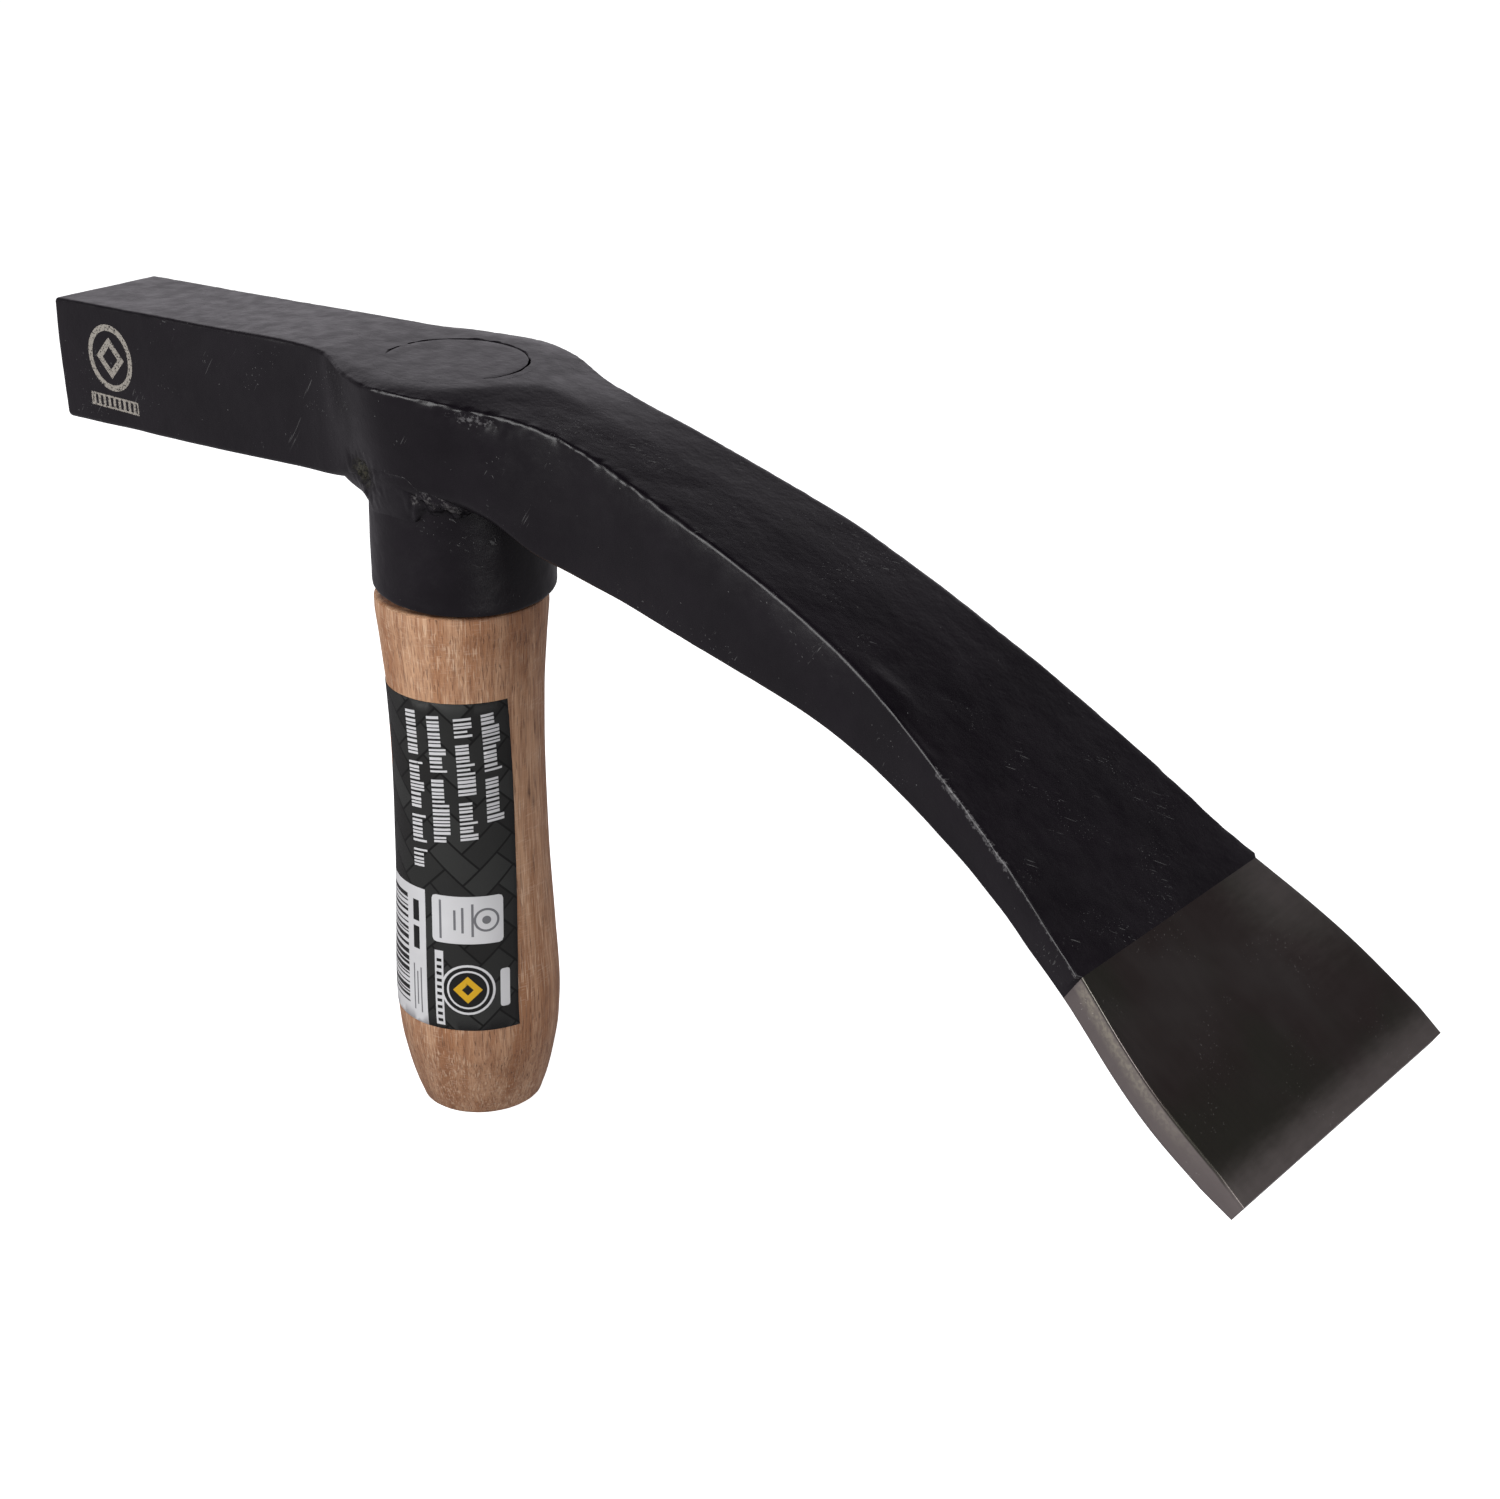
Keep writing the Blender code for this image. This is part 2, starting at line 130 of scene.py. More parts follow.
HANDLE_OUTLINE = [             # height above the butt, radius
    (0.0, 12.4),
    (4.0, 13.8),
    (10.0, 15.3),
    (17.0, 16.5),
    (25.0, 16.9),
    (40.0, 16.3),
    (57.0, 15.6),
    (77.0, 15.3),
    (91.0, 15.6),
    (102.0, 16.4),
    (109.0, 17.1),
]
SHOULDER_HEIGHT = 111.7
SHOULDER_RADIUS = 17.2
TENON_RADIUS = 14.7
KNOTS = ((4.0, 71.6), (9.5, 69.4))     # dark flecks: degrees from +X, height
LABEL_BOTTOM = 22.3
LABEL_TOP = 93.7
LABEL_START = -170.0           # degrees from +X
LABEL_END = -16.0
LABEL_RADIUS = 16.0            # sets how many millimetres a degree of label is
PAPER_THICKNESS = 0.18
PAPER_SINK = 0.06              # its inner face is this far inside the wood's true outline
LABEL_LEAN = 0.95              # it is stuck on this far out of upright, from top to bottom


def smooth_curve(points):
    """Return a function through (x, y) points that is smooth and never overshoots them."""
    xs = [p[0] for p in points]
    ys = [p[1] for p in points]
    rises = [(ys[i + 1] - ys[i]) / (xs[i + 1] - xs[i]) for i in range(len(xs) - 1)]
    slopes = [rises[0]]
    for before, after in zip(rises, rises[1:]):
        flat = before * after <= 0.0
        slopes.append(0.0 if flat else 2.0 * before * after / (before + after))
    slopes.append(rises[-1])

    def value(x):
        x = min(max(x, xs[0]), xs[-1])
        i = next(k for k in range(len(rises)) if x <= xs[k + 1])
        width = xs[i + 1] - xs[i]
        t = (x - xs[i]) / width
        start = (1.0 + 2.0 * t) * (1.0 - t) ** 2 * ys[i]
        start += t * (1.0 - t) ** 2 * width * slopes[i]
        end = t * t * (3.0 - 2.0 * t) * ys[i + 1]
        end += t * t * (t - 1.0) * width * slopes[i + 1]
        return start + end

    return value


def step(x, low, high):
    """Go smoothly from 0 at low to 1 at high."""
    t = min(max((x - low) / (high - low), 0.0), 1.0)
    return t * t * (3.0 - 2.0 * t)


def window(x, start, end, fade):
    """Be 1 between start and end, and fade to 0 outside them."""
    return step(x, start - fade, start) * (1.0 - step(x, end, end + fade))


def full_turn(steps):
    """Angles in equal steps all the way round."""
    return [math.tau * k / steps for k in range(steps)]


def rough(point, size, seed=0.0):
    """Noise of about -1 to 1 whose lumps are about the given size, in the point's units."""
    return noise.noise(Vector(point) / size + Vector((seed, seed * 1.7, seed * 0.6)))


handle_radius = smooth_curve(HANDLE_OUTLINE)
plan_outline = smooth_curve(HEAD_PLAN)
crown_at = smooth_curve(HEAD_CROWN)
top_height = smooth_curve([(row[0], row[1]) for row in HEAD_SIDE])
bottom_x = smooth_curve([(row[0], row[2]) for row in HEAD_SIDE])
bottom_height = smooth_curve([(row[2], row[3]) for row in HEAD_SIDE])


def half_width(x):
    """Half width of the head, its turns a little softer than the plan's."""
    reach = (-3.0, -1.5, 0.0, 1.5, 3.0)
    return sum(plan_outline(x + shift) for shift in reach) / len(reach)


def boss_share(x):
    """How much of the round boss there is at a place along the head, from 0 to 1."""
    return step(x, -24.0, -10.0) * (1.0 - step(x, 16.0, 38.0))


def bottom_corner(boss):
    """Radius of the head's bottom corners for a share of the boss."""
    return BOTTOM_CORNER + (BOSS_BOTTOM_CORNER - BOTTOM_CORNER) * boss


def bottom_half_width(x):
    """Half width of the head's underside, which the boss's draft makes narrower."""
    return half_width(x) * (1.0 - BOSS_DRAFT * boss_share(x))


def ground_share(x):
    """Go from 0 on the painted part of the blade to 1 on the ground part."""
    return step(x, GROUND_END - GROUND_STEP, GROUND_END + GROUND_STEP)


def ground_cut(x):
    """How far the ground sides lean in at the top."""
    return GROUND_CUT * ground_share(x) * (1.0 - 0.6 * step(x, GROUND_END, CUTTING_EDGE[0]))


def ground_plane_height(x):
    """Height of the face ground over the eye."""
    return GROUND_HEIGHT - x * math.tan(math.radians(GROUND_SLOPE))


def underside_height(x, y):
    """Height of the head's underside above a point near the socket."""
    radius = bottom_corner(boss_share(x))
    beyond = min(max(abs(y) - (bottom_half_width(x) - radius), 0.0), radius * 0.9)
    return bottom_height(x) + radius - math.sqrt(radius * radius - beyond * beyond)


# ---------------------------------------------------------------- materials

class Graph:
    """The nodes of one material or of the world, added and linked by short calls."""

    def __init__(self, owner, coordinates):
        owner.use_nodes = True
        self.nodes = owner.node_tree.nodes
        self.links = owner.node_tree.links
        self.place = self.nodes.new("ShaderNodeTexCoord").outputs[coordinates]

    def put(self, socket, value):
        if isinstance(value, bpy.types.NodeSocket):
            self.links.new(value, socket)
        elif socket.type == 'RGBA' and len(value) == 3:
            socket.default_value = (*value, 1.0)
        else:
            socket.default_value = value

    def math(self, operation, a, b=0.0):
        node = self.nodes.new("ShaderNodeMath")
        node.operation = operation
        self.put(node.inputs[0], a)
        self.put(node.inputs[1], b)
        return node.outputs[0]

    def plus(self, a, b):
        return self.math('ADD', a, b)

    def times(self, a, b):
        return self.math('MULTIPLY', a, b)

    def mapped(self, scale, turn=(0.0, 0.0, 0.0)):
        """Coordinates in metres times the scale, after a turn in degrees."""
        node = self.nodes.new("ShaderNodeMapping")
        node.vector_type = 'TEXTURE'
        node.inputs["Rotation"].default_value = [math.radians(a) for a in turn]
        node.inputs["Scale"].default_value = [1.0 / s for s in scale]
        self.put(node.inputs["Vector"], self.place)
        return node.outputs[0]

    def noise(self, vector, scale=1.0, detail=2.0, roughness=0.5, distortion=0.0):
        node = self.nodes.new("ShaderNodeTexNoise")
        self.put(node.inputs["Vector"], vector)
        node.inputs["Scale"].default_value = scale
        node.inputs["Detail"].default_value = detail
        node.inputs["Roughness"].default_value = roughness
        node.inputs["Distortion"].default_value = distortion
        return node.outputs[0]

    def attribute(self, name):
        node = self.nodes.new("ShaderNodeAttribute")
        node.attribute_name = name
        return node.outputs["Fac"]

    def spread(self, value, low, high, to_low=0.0, to_high=1.0):
        """Move a value from low..high to to_low..to_high, and hold it there."""
        node = self.nodes.new("ShaderNodeMapRange")
        node.interpolation_type = 'SMOOTHSTEP'
        self.put(node.inputs["Value"], value)
        node.inputs["From Min"].default_value = low
        node.inputs["From Max"].default_value = high
        node.inputs["To Min"].default_value = to_low
        node.inputs["To Max"].default_value = to_high
        return node.outputs[0]

    def mix(self, factor, a, b, blend='MIX'):
        node = self.nodes.new("ShaderNodeMix")
        node.data_type = 'RGBA'
        node.blend_type = blend
        self.put(node.inputs[0], factor)
        self.put(node.inputs[6], a)
        self.put(node.inputs[7], b)
        return node.outputs[2]

    def grey(self, value):
        node = self.nodes.new("ShaderNodeCombineColor")
        for channel in node.inputs:
            self.put(channel, value)
        return node.outputs[0]

    def axes(self):
        node = self.nodes.new("ShaderNodeSeparateXYZ")
        self.put(node.inputs[0], self.place)
        return node.outputs

    def bump(self, height, distance, below=None):
        node = self.nodes.new("ShaderNodeBump")
        node.inputs["Strength"].default_value = 1.0
        node.inputs["Distance"].default_value = distance * MM
        self.put(node.inputs["Height"], height)
        if below:
            self.put(node.inputs["Normal"], below)
        return node.outputs[0]


class Shader(Graph):
    """A material with the standard surface."""

    def __init__(self, name):
        self.material = bpy.data.materials.new(name)
        super().__init__(self.material, "Object")
        self.surface = self.nodes["Principled BSDF"]

    def set(self, **inputs):
        for name, value in inputs.items():
            self.put(self.surface.inputs[name.replace("_", " ").title()], value)

    def constant(self, name, value):
        """Set a value that is the same all over on the surface's own socket."""
        self.surface.inputs[name].default_value = value


def fine_scratches(shader, turn, across, along, amount):
    """Mask of sparse thin scratches that run along the turned Z axis."""
    lines = shader.noise(shader.mapped((across, across, along), turn), 1.0, 1.0)
    places = shader.noise(shader.place, 90.0, 2.0)
    thin = shader.spread(lines, 0.5 + amount, 0.53 + amount)
    return shader.times(thin, shader.spread(places, 0.57, 0.66))


def rusty_pits(shader, edge, scale):
    """How far the pits have rusted, and the mottled brown of their rust."""
    broken = shader.noise(shader.place, scale, 4.0)
    rust = shader.spread(shader.times(shader.attribute("rust"), broken), 0.12, 0.5)
    mottled = shader.mix(shader.spread(edge, 0.42, 0.62), (0.003, 0.0026, 0.0018),
                         (0.034, 0.031, 0.020))
    return rust, mottled


def black_paint():
    """Satin black paint: faint mottling, small pale specks, and pale grey at the ridges: bare chips and
    patches, with painted glints and a painted highlight line.
    """
    shader = Shader("black_paint")
    broad = shader.noise(shader.place, 55.0, 3.0)
    patches = shader.noise(shader.place, 260.0, 3.0, 0.6)
    peel = shader.noise(shader.place, 800.0, 2.0)
    specks = shader.spread(shader.noise(shader.place, 1300.0, 1.0), 0.79, 0.82)
    scratches = shader.math(
        'MAXIMUM', fine_scratches(shader, (0.0, 35.0, 0.0), 2600.0, 90.0, 0.2),
        fine_scratches(shader, (20.0, -60.0, 30.0), 2300.0, 120.0, 0.21))
    marks = shader.math('MAXIMUM', specks, scratches)
    edge = shader.noise(shader.place, 1500.0, 3.0, 0.65)
    # Pale grey at the ridges: bare chips and patches, with painted glints and a painted highlight line
    # where the near ridges catch the light.
    worn_and_glinting = shader.plus(shader.attribute("wear_and_glints"), edge)
    worn_and_glinting = shader.spread(worn_and_glinting, 1.0, 1.16)
    rust, mottled = rusty_pits(shader, edge, 900.0)

    colour = shader.mix(shader.spread(broad, 0.35, 0.65), (0.0038, 0.0026, 0.0043),
                        (0.0058, 0.0042, 0.0064))
    colour = shader.mix(shader.times(marks, 0.35), colour, (0.16, 0.16, 0.16))
    colour = shader.mix(rust, colour, mottled)
    colour = shader.mix(worn_and_glinting, colour, (0.075, 0.072, 0.075))
    etched = etched_mark(shader)
    colour = shader.mix(etched, colour, (0.27, 0.25, 0.22))
    gloss = shader.spread(patches, 0.3, 0.7, 0.31, 0.39)
    gloss = shader.plus(gloss, shader.times(marks, 0.15))
    gloss = shader.plus(gloss, shader.times(etched, 0.25))
    gloss = shader.plus(gloss, shader.times(rust, 0.5))
    normal = shader.bump(patches, 0.10)
    normal = shader.bump(peel, 0.035, normal)
    normal = shader.bump(shader.times(marks, -1.0), 0.03, normal)
    shader.set(base_color=colour, roughness=gloss, normal=normal)
    shader.constant("Specular IOR Level", 0.32)
    return shader.material


MARK_X = -86.5                 # middle of the mark etched in the poll
MARK_Z = 146.0
MARK_RING = (5.7, 7.0)         # inner and outer radius
MARK_DIAMOND = (2.4, 4.4)      # half widths of its hole and of the diamond
MARK_BAR_DROP = 9.6            # the bar is this far below the middle
MARK_BAR = (7.6, 1.4)          # its half length and half height
MARK_BAR_RIM = 0.4
MARK_TICKS = 620.0             # ticks in a metre of bar
MARK_DEPTH = -12.6             # it shows on surfaces beyond this Y


def etched_mark(shader):
    """Mask of a plain mark etched in the poll's near side: a ring round a diamond, over a bar."""
    x, y, z = shader.axes()
    across = shader.math('ABSOLUTE', shader.plus(x, -MARK_X * MM))
    up = shader.math('SUBTRACT', z, MARK_Z * MM)
    high = shader.math('ABSOLUTE', up)
    far = shader.math('SQRT', shader.plus(shader.math('POWER', across, 2.0),
                                          shader.math('POWER', up, 2.0)))
    ring = shader.times(shader.math('LESS_THAN', far, MARK_RING[1] * MM),
                        shader.math('GREATER_THAN', far, MARK_RING[0] * MM))
    diamond_size = shader.plus(across, high)
    diamond = shader.math('LESS_THAN', diamond_size, MARK_DIAMOND[1] * MM)
    hole = shader.math('GREATER_THAN', diamond_size, MARK_DIAMOND[0] * MM)
    mark = shader.math('MAXIMUM', ring, shader.times(diamond, hole))
    bar_high = shader.math('ABSOLUTE', shader.plus(up, MARK_BAR_DROP * MM))

    def bar_inside(rim):
        return shader.times(shader.math('LESS_THAN', bar_high, (MARK_BAR[1] - rim) * MM),
                            shader.math('LESS_THAN', across, (MARK_BAR[0] - rim) * MM))

    bar = bar_inside(0.0)
    hollow = bar_inside(MARK_BAR_RIM)
    ticks = shader.math('GREATER_THAN', shader.math('FRACT', shader.times(x, MARK_TICKS)), 0.5)
    bar = shader.math('SUBTRACT', bar, shader.times(hollow, ticks))
    mark = shader.math('MAXIMUM', mark, bar)
    near_side = shader.math('LESS_THAN', y, MARK_DEPTH * MM)
    mark = shader.times(mark, near_side)
    speckle = shader.spread(shader.noise(shader.place, 2600.0, 2.0), 0.32, 0.5)
    return shader.times(mark, speckle)


def weld_paint():
    """The same paint on the weld: lumpier, with pale grey on the bead's lumps as painted highlights, and
    brown in the pits.
    """
    shader = Shader("weld_paint")
    patches = shader.noise(shader.place, 500.0, 4.0, 0.6)
    edge = shader.noise(shader.place, 1500.0, 3.0, 0.65)
    rust, mottled = rusty_pits(shader, edge, 1100.0)
    # Pale grey on the bead's lumps: painted highlights.
    bead_highlights = shader.spread(shader.plus(shader.attribute("wear_and_glints"), edge), 1.0, 1.2)
    colour = shader.mix(shader.spread(patches, 0.4, 0.7), (0.0050, 0.0036, 0.0058),
                        (0.0085, 0.0070, 0.0092))
    colour = shader.mix(rust, colour, mottled)
    colour = shader.mix(bead_highlights, colour, (0.072, 0.068, 0.068))
    gloss = shader.spread(patches, 0.3, 0.7, 0.30, 0.42)
    gloss = shader.plus(gloss, shader.times(rust, 0.5))
    lumps = shader.spread(shader.attribute("wear_and_glints"), 0.0, 0.4, 0.3, 1.0)
    shader.set(base_color=colour, roughness=gloss,
               normal=shader.bump(shader.times(patches, lumps), 0.28))
    shader.constant("Specular IOR Level", 0.34)
    return shader.material


def ground_steel():
    """Bare ground steel: dark and smoky on the wide faces, brighter at the edge and the sides."""
    shader = Shader("ground_steel")
    clouds = shader.noise(shader.place, 50.0, 3.0)
    tint = shader.noise(shader.place, 38.0, 2.0)
    lines = shader.noise(shader.mapped((150.0, 1500.0, 150.0)), 1.0, 3.0, 0.6)
    side_lines = shader.noise(shader.mapped((60.0, 60.0, 1900.0), (0.0, 37.0, 0.0)), 1.0, 2.0)
    scratches = fine_scratches(shader, (40.0, 50.0, 10.0), 2400.0, 120.0, 0.2)
    bright = shader.attribute("bright")
    frayed = shader.noise(shader.mapped((900.0, 260.0, 900.0)), 1.0, 3.0)
    frayed = shader.times(shader.math('SUBTRACT', frayed, 0.5), 0.25)
    bright = shader.spread(shader.plus(bright, frayed), 0.05, 0.95)
    burnt = shader.times(shader.attribute("rust"),
                         shader.spread(shader.noise(shader.place, 1300.0, 3.0), 0.4, 0.6, 0.35, 1.0))

    smoky = shader.mix(shader.spread(tint, 0.4, 0.6), (0.077, 0.073, 0.060), (0.084, 0.064, 0.061))
    smoky = shader.mix(shader.spread(clouds, 0.4, 0.8, 0.0, 0.6), smoky, (0.15, 0.137, 0.132))
    colour = shader.mix(bright, smoky, (0.250, 0.218, 0.210))
    colour = shader.mix(burnt, colour, (0.44, 0.40, 0.33))
    colour = shader.mix(shader.times(scratches, 0.25), colour, (0.5, 0.5, 0.48))
    gloss = shader.spread(lines, 0.3, 0.7, 0.30, 0.33)
    gloss = shader.plus(gloss, shader.times(bright, 0.08))
    grain = shader.times(side_lines, bright)
    normal = shader.bump(grain, 0.012)
    normal = shader.bump(shader.times(scratches, -1.0), 0.02, normal)
    shader.set(base_color=colour, roughness=gloss, normal=normal)
    shader.constant("Metallic", 0.9)
    return shader.material


def turned_wood():
    """Unvarnished reddish wood: streaks, fine pale and dark lines, and faint turning marks."""
    shader = Shader("turned_wood")
    bands = shader.noise(shader.mapped((230.0, 230.0, 6.0)), 1.0, 3.0, 0.6, 0.3)
    streaks = shader.noise(shader.mapped((800.0, 800.0, 26.0)), 1.0, 3.0, 0.6)
    fibres = shader.noise(shader.mapped((2600.0, 2600.0, 75.0)), 1.0, 3.0, 0.65)
    lines = shader.noise(shader.mapped((3400.0, 3400.0, 120.0)), 1.0, 1.0)
    pores = shader.noise(shader.mapped((2700.0, 2700.0, 150.0)), 1.3, 1.0)
    patches = shader.noise(shader.place, 85.0, 2.0)
    sanding = shader.noise(shader.mapped((420.0, 420.0, 3600.0)), 1.0, 2.0)
    lines_on = shader.times(shader.spread(lines, 0.57, 0.66),
                            shader.spread(patches, 0.40, 0.56, 0.3, 1.0))
    pores_on = shader.times(shader.spread(pores, 0.62, 0.70),
                            shader.spread(patches, 0.62, 0.44, 0.3, 1.0))
    marks_on = shader.times(shader.spread(sanding, 0.55, 0.68),
                            shader.spread(patches, 0.42, 0.60, 0.3, 1.0))

    colour = shader.mix(shader.spread(bands, 0.38, 0.62), (0.340, 0.156, 0.072),
                        (0.505, 0.290, 0.168))
    colour = shader.mix(shader.spread(streaks, 0.48, 0.66, 0.0, 0.55), colour,
                        (0.270, 0.118, 0.056))
    colour = shader.mix(shader.spread(fibres, 0.46, 0.66, 0.0, 0.55), colour,
                        (0.210, 0.098, 0.052))
    colour = shader.mix(shader.times(lines_on, 0.50), colour, (0.74, 0.53, 0.37))
    colour = shader.mix(shader.times(pores_on, 0.65), colour, (0.11, 0.048, 0.026))
    colour = shader.mix(shader.times(marks_on, 0.30), colour, (0.66, 0.47, 0.34))
    # Darker where the handle says: paint smear and knots, and painted shading under the socket's rim and
    # towards the butt.
    colour = shader.mix(shader.attribute("stain_and_shade"), colour, (0.060, 0.020, 0.009))
    gloss = shader.spread(fibres, 0.3, 0.7, 0.46, 0.62)
    height = shader.plus(fibres, shader.times(pores_on, -0.8))
    normal = shader.bump(height, 0.10)
    normal = shader.bump(sanding, 0.03, normal)
    shader.set(base_color=colour, roughness=gloss, normal=normal)
    shader.constant("Specular IOR Level", 0.45)
    return shader.material


def sawn_wood():
    """Pale sawn wood of the wedge."""
    shader = Shader("sawn_wood")
    fibres = shader.noise(shader.mapped((1300.0, 1300.0, 80.0)), 1.0, 3.0, 0.6)
    saw = shader.noise(shader.mapped((100.0, 100.0, 1500.0)), 1.0, 2.0)
    colour = shader.mix(fibres, (0.36, 0.22, 0.12), (0.58, 0.41, 0.25))
    shader.set(base_color=colour, roughness=shader.spread(saw, 0.3, 0.7, 0.6, 0.8),
               normal=shader.bump(saw, 0.1))
    return shader.material


def printed_ink(name, colour, shine):
    """One flat ink of the label, over the paper's fine tooth."""
    shader = Shader(name)
    tooth = shader.noise(shader.place, 2800.0, 2.0)
    cloud = shader.noise(shader.place, 140.0, 2.0)
    darker = [c * 0.86 for c in colour]
    shader.constant("Specular IOR Level", 0.2)
    shader.set(base_color=shader.mix(cloud, darker, colour),
               roughness=shader.spread(tooth, 0.3, 0.7, shine - 0.05, shine + 0.06),
               normal=shader.bump(tooth, 0.012))
    return shader.material


# ---------------------------------------------------------------- making pieces

def finish_piece(name, mesh, materials, slot, *nodes):
    """Show a finished mesh in place of the CAD nodes that it stands for."""
    mesh.name = name
    for material in materials:
        mesh.materials.append(material)
    piece = bpy.data.objects.new(name, mesh)
    bpy.context.scene.collection.objects.link(piece)
    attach(piece, "root")
    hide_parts(*nodes)
    return piece


def closed_loft(rings, join_ends=False):
    """Quads between closed rings of points; join_ends joins the last ring to the first as well."""
    shape = bmesh.new()
    rows = [[shape.verts.new(p) for p in ring] for ring in rings]
    pairs = list(zip(rows, rows[1:]))
    if join_ends:
        pairs.append((rows[-1], rows[0]))
    for row, after in pairs:
        for k in range(len(row)):
            n = (k + 1) % len(row)
            shape.faces.new((row[k], row[n], after[n], after[k]))
    return shape, rows


def face_outward(shape):
    """Make every face of a closed shape point out."""
    bmesh.ops.recalc_face_normals(shape, faces=shape.faces)


def to_mesh(name, shape, sharp=38.0):
    """Turn a bmesh in millimetres into a mesh in metres, shaded smooth up to the sharp angle."""
    bmesh.ops.scale(shape, vec=(MM, MM, MM), verts=shape.verts)
    mesh = bpy.data.meshes.new(name)
    shape.to_mesh(mesh)
    shape.free()
    mesh.shade_smooth()
    mesh.set_sharp_from_angle(angle=math.radians(sharp))
    return mesh


def put_attribute(mesh, name, values):
    """Store one value for each vertex, for the materials to read."""
    layer = mesh.attributes.new(name, 'FLOAT', 'POINT')
    layer.data.foreach_set("value", values)


def cut_away(mesh, cutters):
    """Return the mesh with the cutter meshes cut out of it."""
    scene = bpy.context.scene.collection
    body = bpy.data.objects.new("cut_body", mesh)
    scene.objects.link(body)
    tools = []
    for cutter in cutters:
        tool = bpy.data.objects.new("cut_tool", cutter)
        scene.objects.link(tool)
        modifier = body.modifiers.new("cut", 'BOOLEAN')
        modifier.solver = 'EXACT'
        modifier.object = tool
        tools.append(tool)
    bpy.context.view_layer.update()
    ready = body.evaluated_get(bpy.context.evaluated_depsgraph_get())
    result = bpy.data.meshes.new_from_object(ready)
    for thing in [body, *tools]:
        bpy.data.objects.remove(thing, do_unlink=True)
    return result


def round_cutter(radius, low, high, centre_x=0.0, waviness=0.0, steps=120):
    """A closed cylinder whose wall wanders in and out by the waviness."""
    rings = []
    for z in (low, high):
        ring = []
        for angle in full_turn(steps):
            spot = (math.cos(angle) * 3.0, math.sin(angle) * 3.0, 0.0)
            r = radius + waviness * rough(spot, 0.7)
            ring.append((centre_x + r * math.cos(angle), r * math.sin(angle), z))
        rings.append(ring)
    shape, rows = closed_loft(rings)
    shape.faces.new(list(reversed(rows[0])))
    shape.faces.new(rows[1])
    face_outward(shape)
    return to_mesh("cutter", shape)


# ---------------------------------------------------------------- head

def head_section(x_top, inset, top_corner):
    """Half of the head's section, as (x, y, z, distance from the ridge: above 0 on the side)."""
    x_bottom = bottom_x(x_top)
    top = Vector((x_top, top_height(x_top)))
    bottom = Vector((x_bottom, bottom_height(x_bottom)))
    if x_top > HEAD_SIDE[-1][0]:
        share = (x_top - HEAD_SIDE[-1][0]) / (CUTTING_EDGE[0] - HEAD_SIDE[-1][0])
        top = Vector(HEAD_SIDE[-1][:2]).lerp(Vector(CUTTING_EDGE[:2]), share)
        bottom = Vector(HEAD_SIDE[-1][2:]).lerp(Vector(CUTTING_EDGE[2:]), share)
    height = (top - bottom).length
    up = (top - bottom) / height
    boss = boss_share(x_top)
    crown = crown_at(x_top)
    half_top = half_width(top.x) - ground_cut(x_top) - inset
    half_bottom = half_width(bottom.x) * (1.0 - BOSS_DRAFT * boss) - inset
    thin = min(1.0, height / 14.0)
    top_corner *= 1.0 - 0.5 * ground_share(x_top)
    r_top = max(top_corner * thin - inset * 0.5, 0.2)
    r_bottom = max(bottom_corner(boss) * thin - inset * 0.5, 0.2)
    bow = 1.0 + 1.8 * (1.0 - step(x_top, 4.0, 22.0))
    rolled = ROLLED_SIDE * step(x_top, 22.0, 60.0) * (1.0 - step(x_top, 104.0, 111.0))

    def crown_drop(y):
        soft = math.sqrt((y / half_top) ** 2 + 0.01) - 0.1
        return crown * (soft / (math.sqrt(1.01) - 0.1)) ** bow

    outline = []
    flat_top = half_top - r_top
    steps = 24
    for k in range(steps):
        y = flat_top * k / steps
        outline.append((y, height - inset - crown_drop(y)))
    edge = height - inset - crown_drop(flat_top)
    steps = 5
    for k in range(steps + 1):
        angle = math.pi / 2.0 * (1.0 - k / steps)
        outline.append((flat_top + r_top * math.cos(angle), edge - r_top * (1.0 - math.sin(angle))))
    side_low = inset + r_bottom
    side_high = edge - r_top
    steps = 15
    for k in range(1, steps):
        share = (k / steps) ** 1.35
        depth = (side_high - side_low) * share
        out = rolled * (1.0 - math.exp(-depth / 4.5)) + 0.25 * math.sin(math.pi * share) * thin
        y = half_top + (half_bottom - half_top) * share + out * math.sqrt(1.0 - share)
        outline.append((y, side_high - depth))
    steps = 6
    for k in range(steps + 1):
        angle = -math.pi / 2.0 * k / steps
        outline.append((half_bottom - r_bottom * (1.0 - math.cos(angle)),
                        side_low + r_bottom * math.sin(angle)))
    steps = 14
    for k in range(1, steps + 1):
        outline.append(((half_bottom - r_bottom) * (1.0 - k / steps), inset))
    ridge = Vector((flat_top + r_top * 0.7, edge - r_top * 0.3))
    section = []
    for y, v in outline:
        far = (Vector((y, v)) - ridge).length
        on_side = v < ridge.y and y > flat_top - 1.0
        section.append((bottom.x + up.x * v, y, bottom.y + up.y * v, far if on_side else -far))
    return section


def head_ring(x_top, inset=0.0, shift=0.0):
    """The whole section, going round from the top middle by the +Y side."""
    soft = TOP_CORNER + (FAR_TOP_CORNER - TOP_CORNER) * window(x_top, 40.0, 150.0, 15.0)
    far = [(x + shift, y, z, d) for x, y, z, d in head_section(x_top, inset, soft)]
    near = head_section(x_top, inset, TOP_CORNER)
    near = [(x + shift, -y, z, d) for x, y, z, d in reversed(near[1:-1])]
    return far + near


def head_places():
    """Places of the sections along the top line: close together where there is most detail."""
    places = []
    x = HEAD_SIDE[0][0] + POLL_EDGE
    while x < CUTTING_EDGE[0] - 0.4:
        places.append(x)
        x += 0.55 if -32.0 < x < 62.0 else 0.9 if x > 62.0 else 1.1
    places = [x for x in places if abs(x - GROUND_END) > 0.7]
    return sorted(places + [GROUND_END - GROUND_STEP, GROUND_END + GROUND_STEP, CUTTING_EDGE[0]])


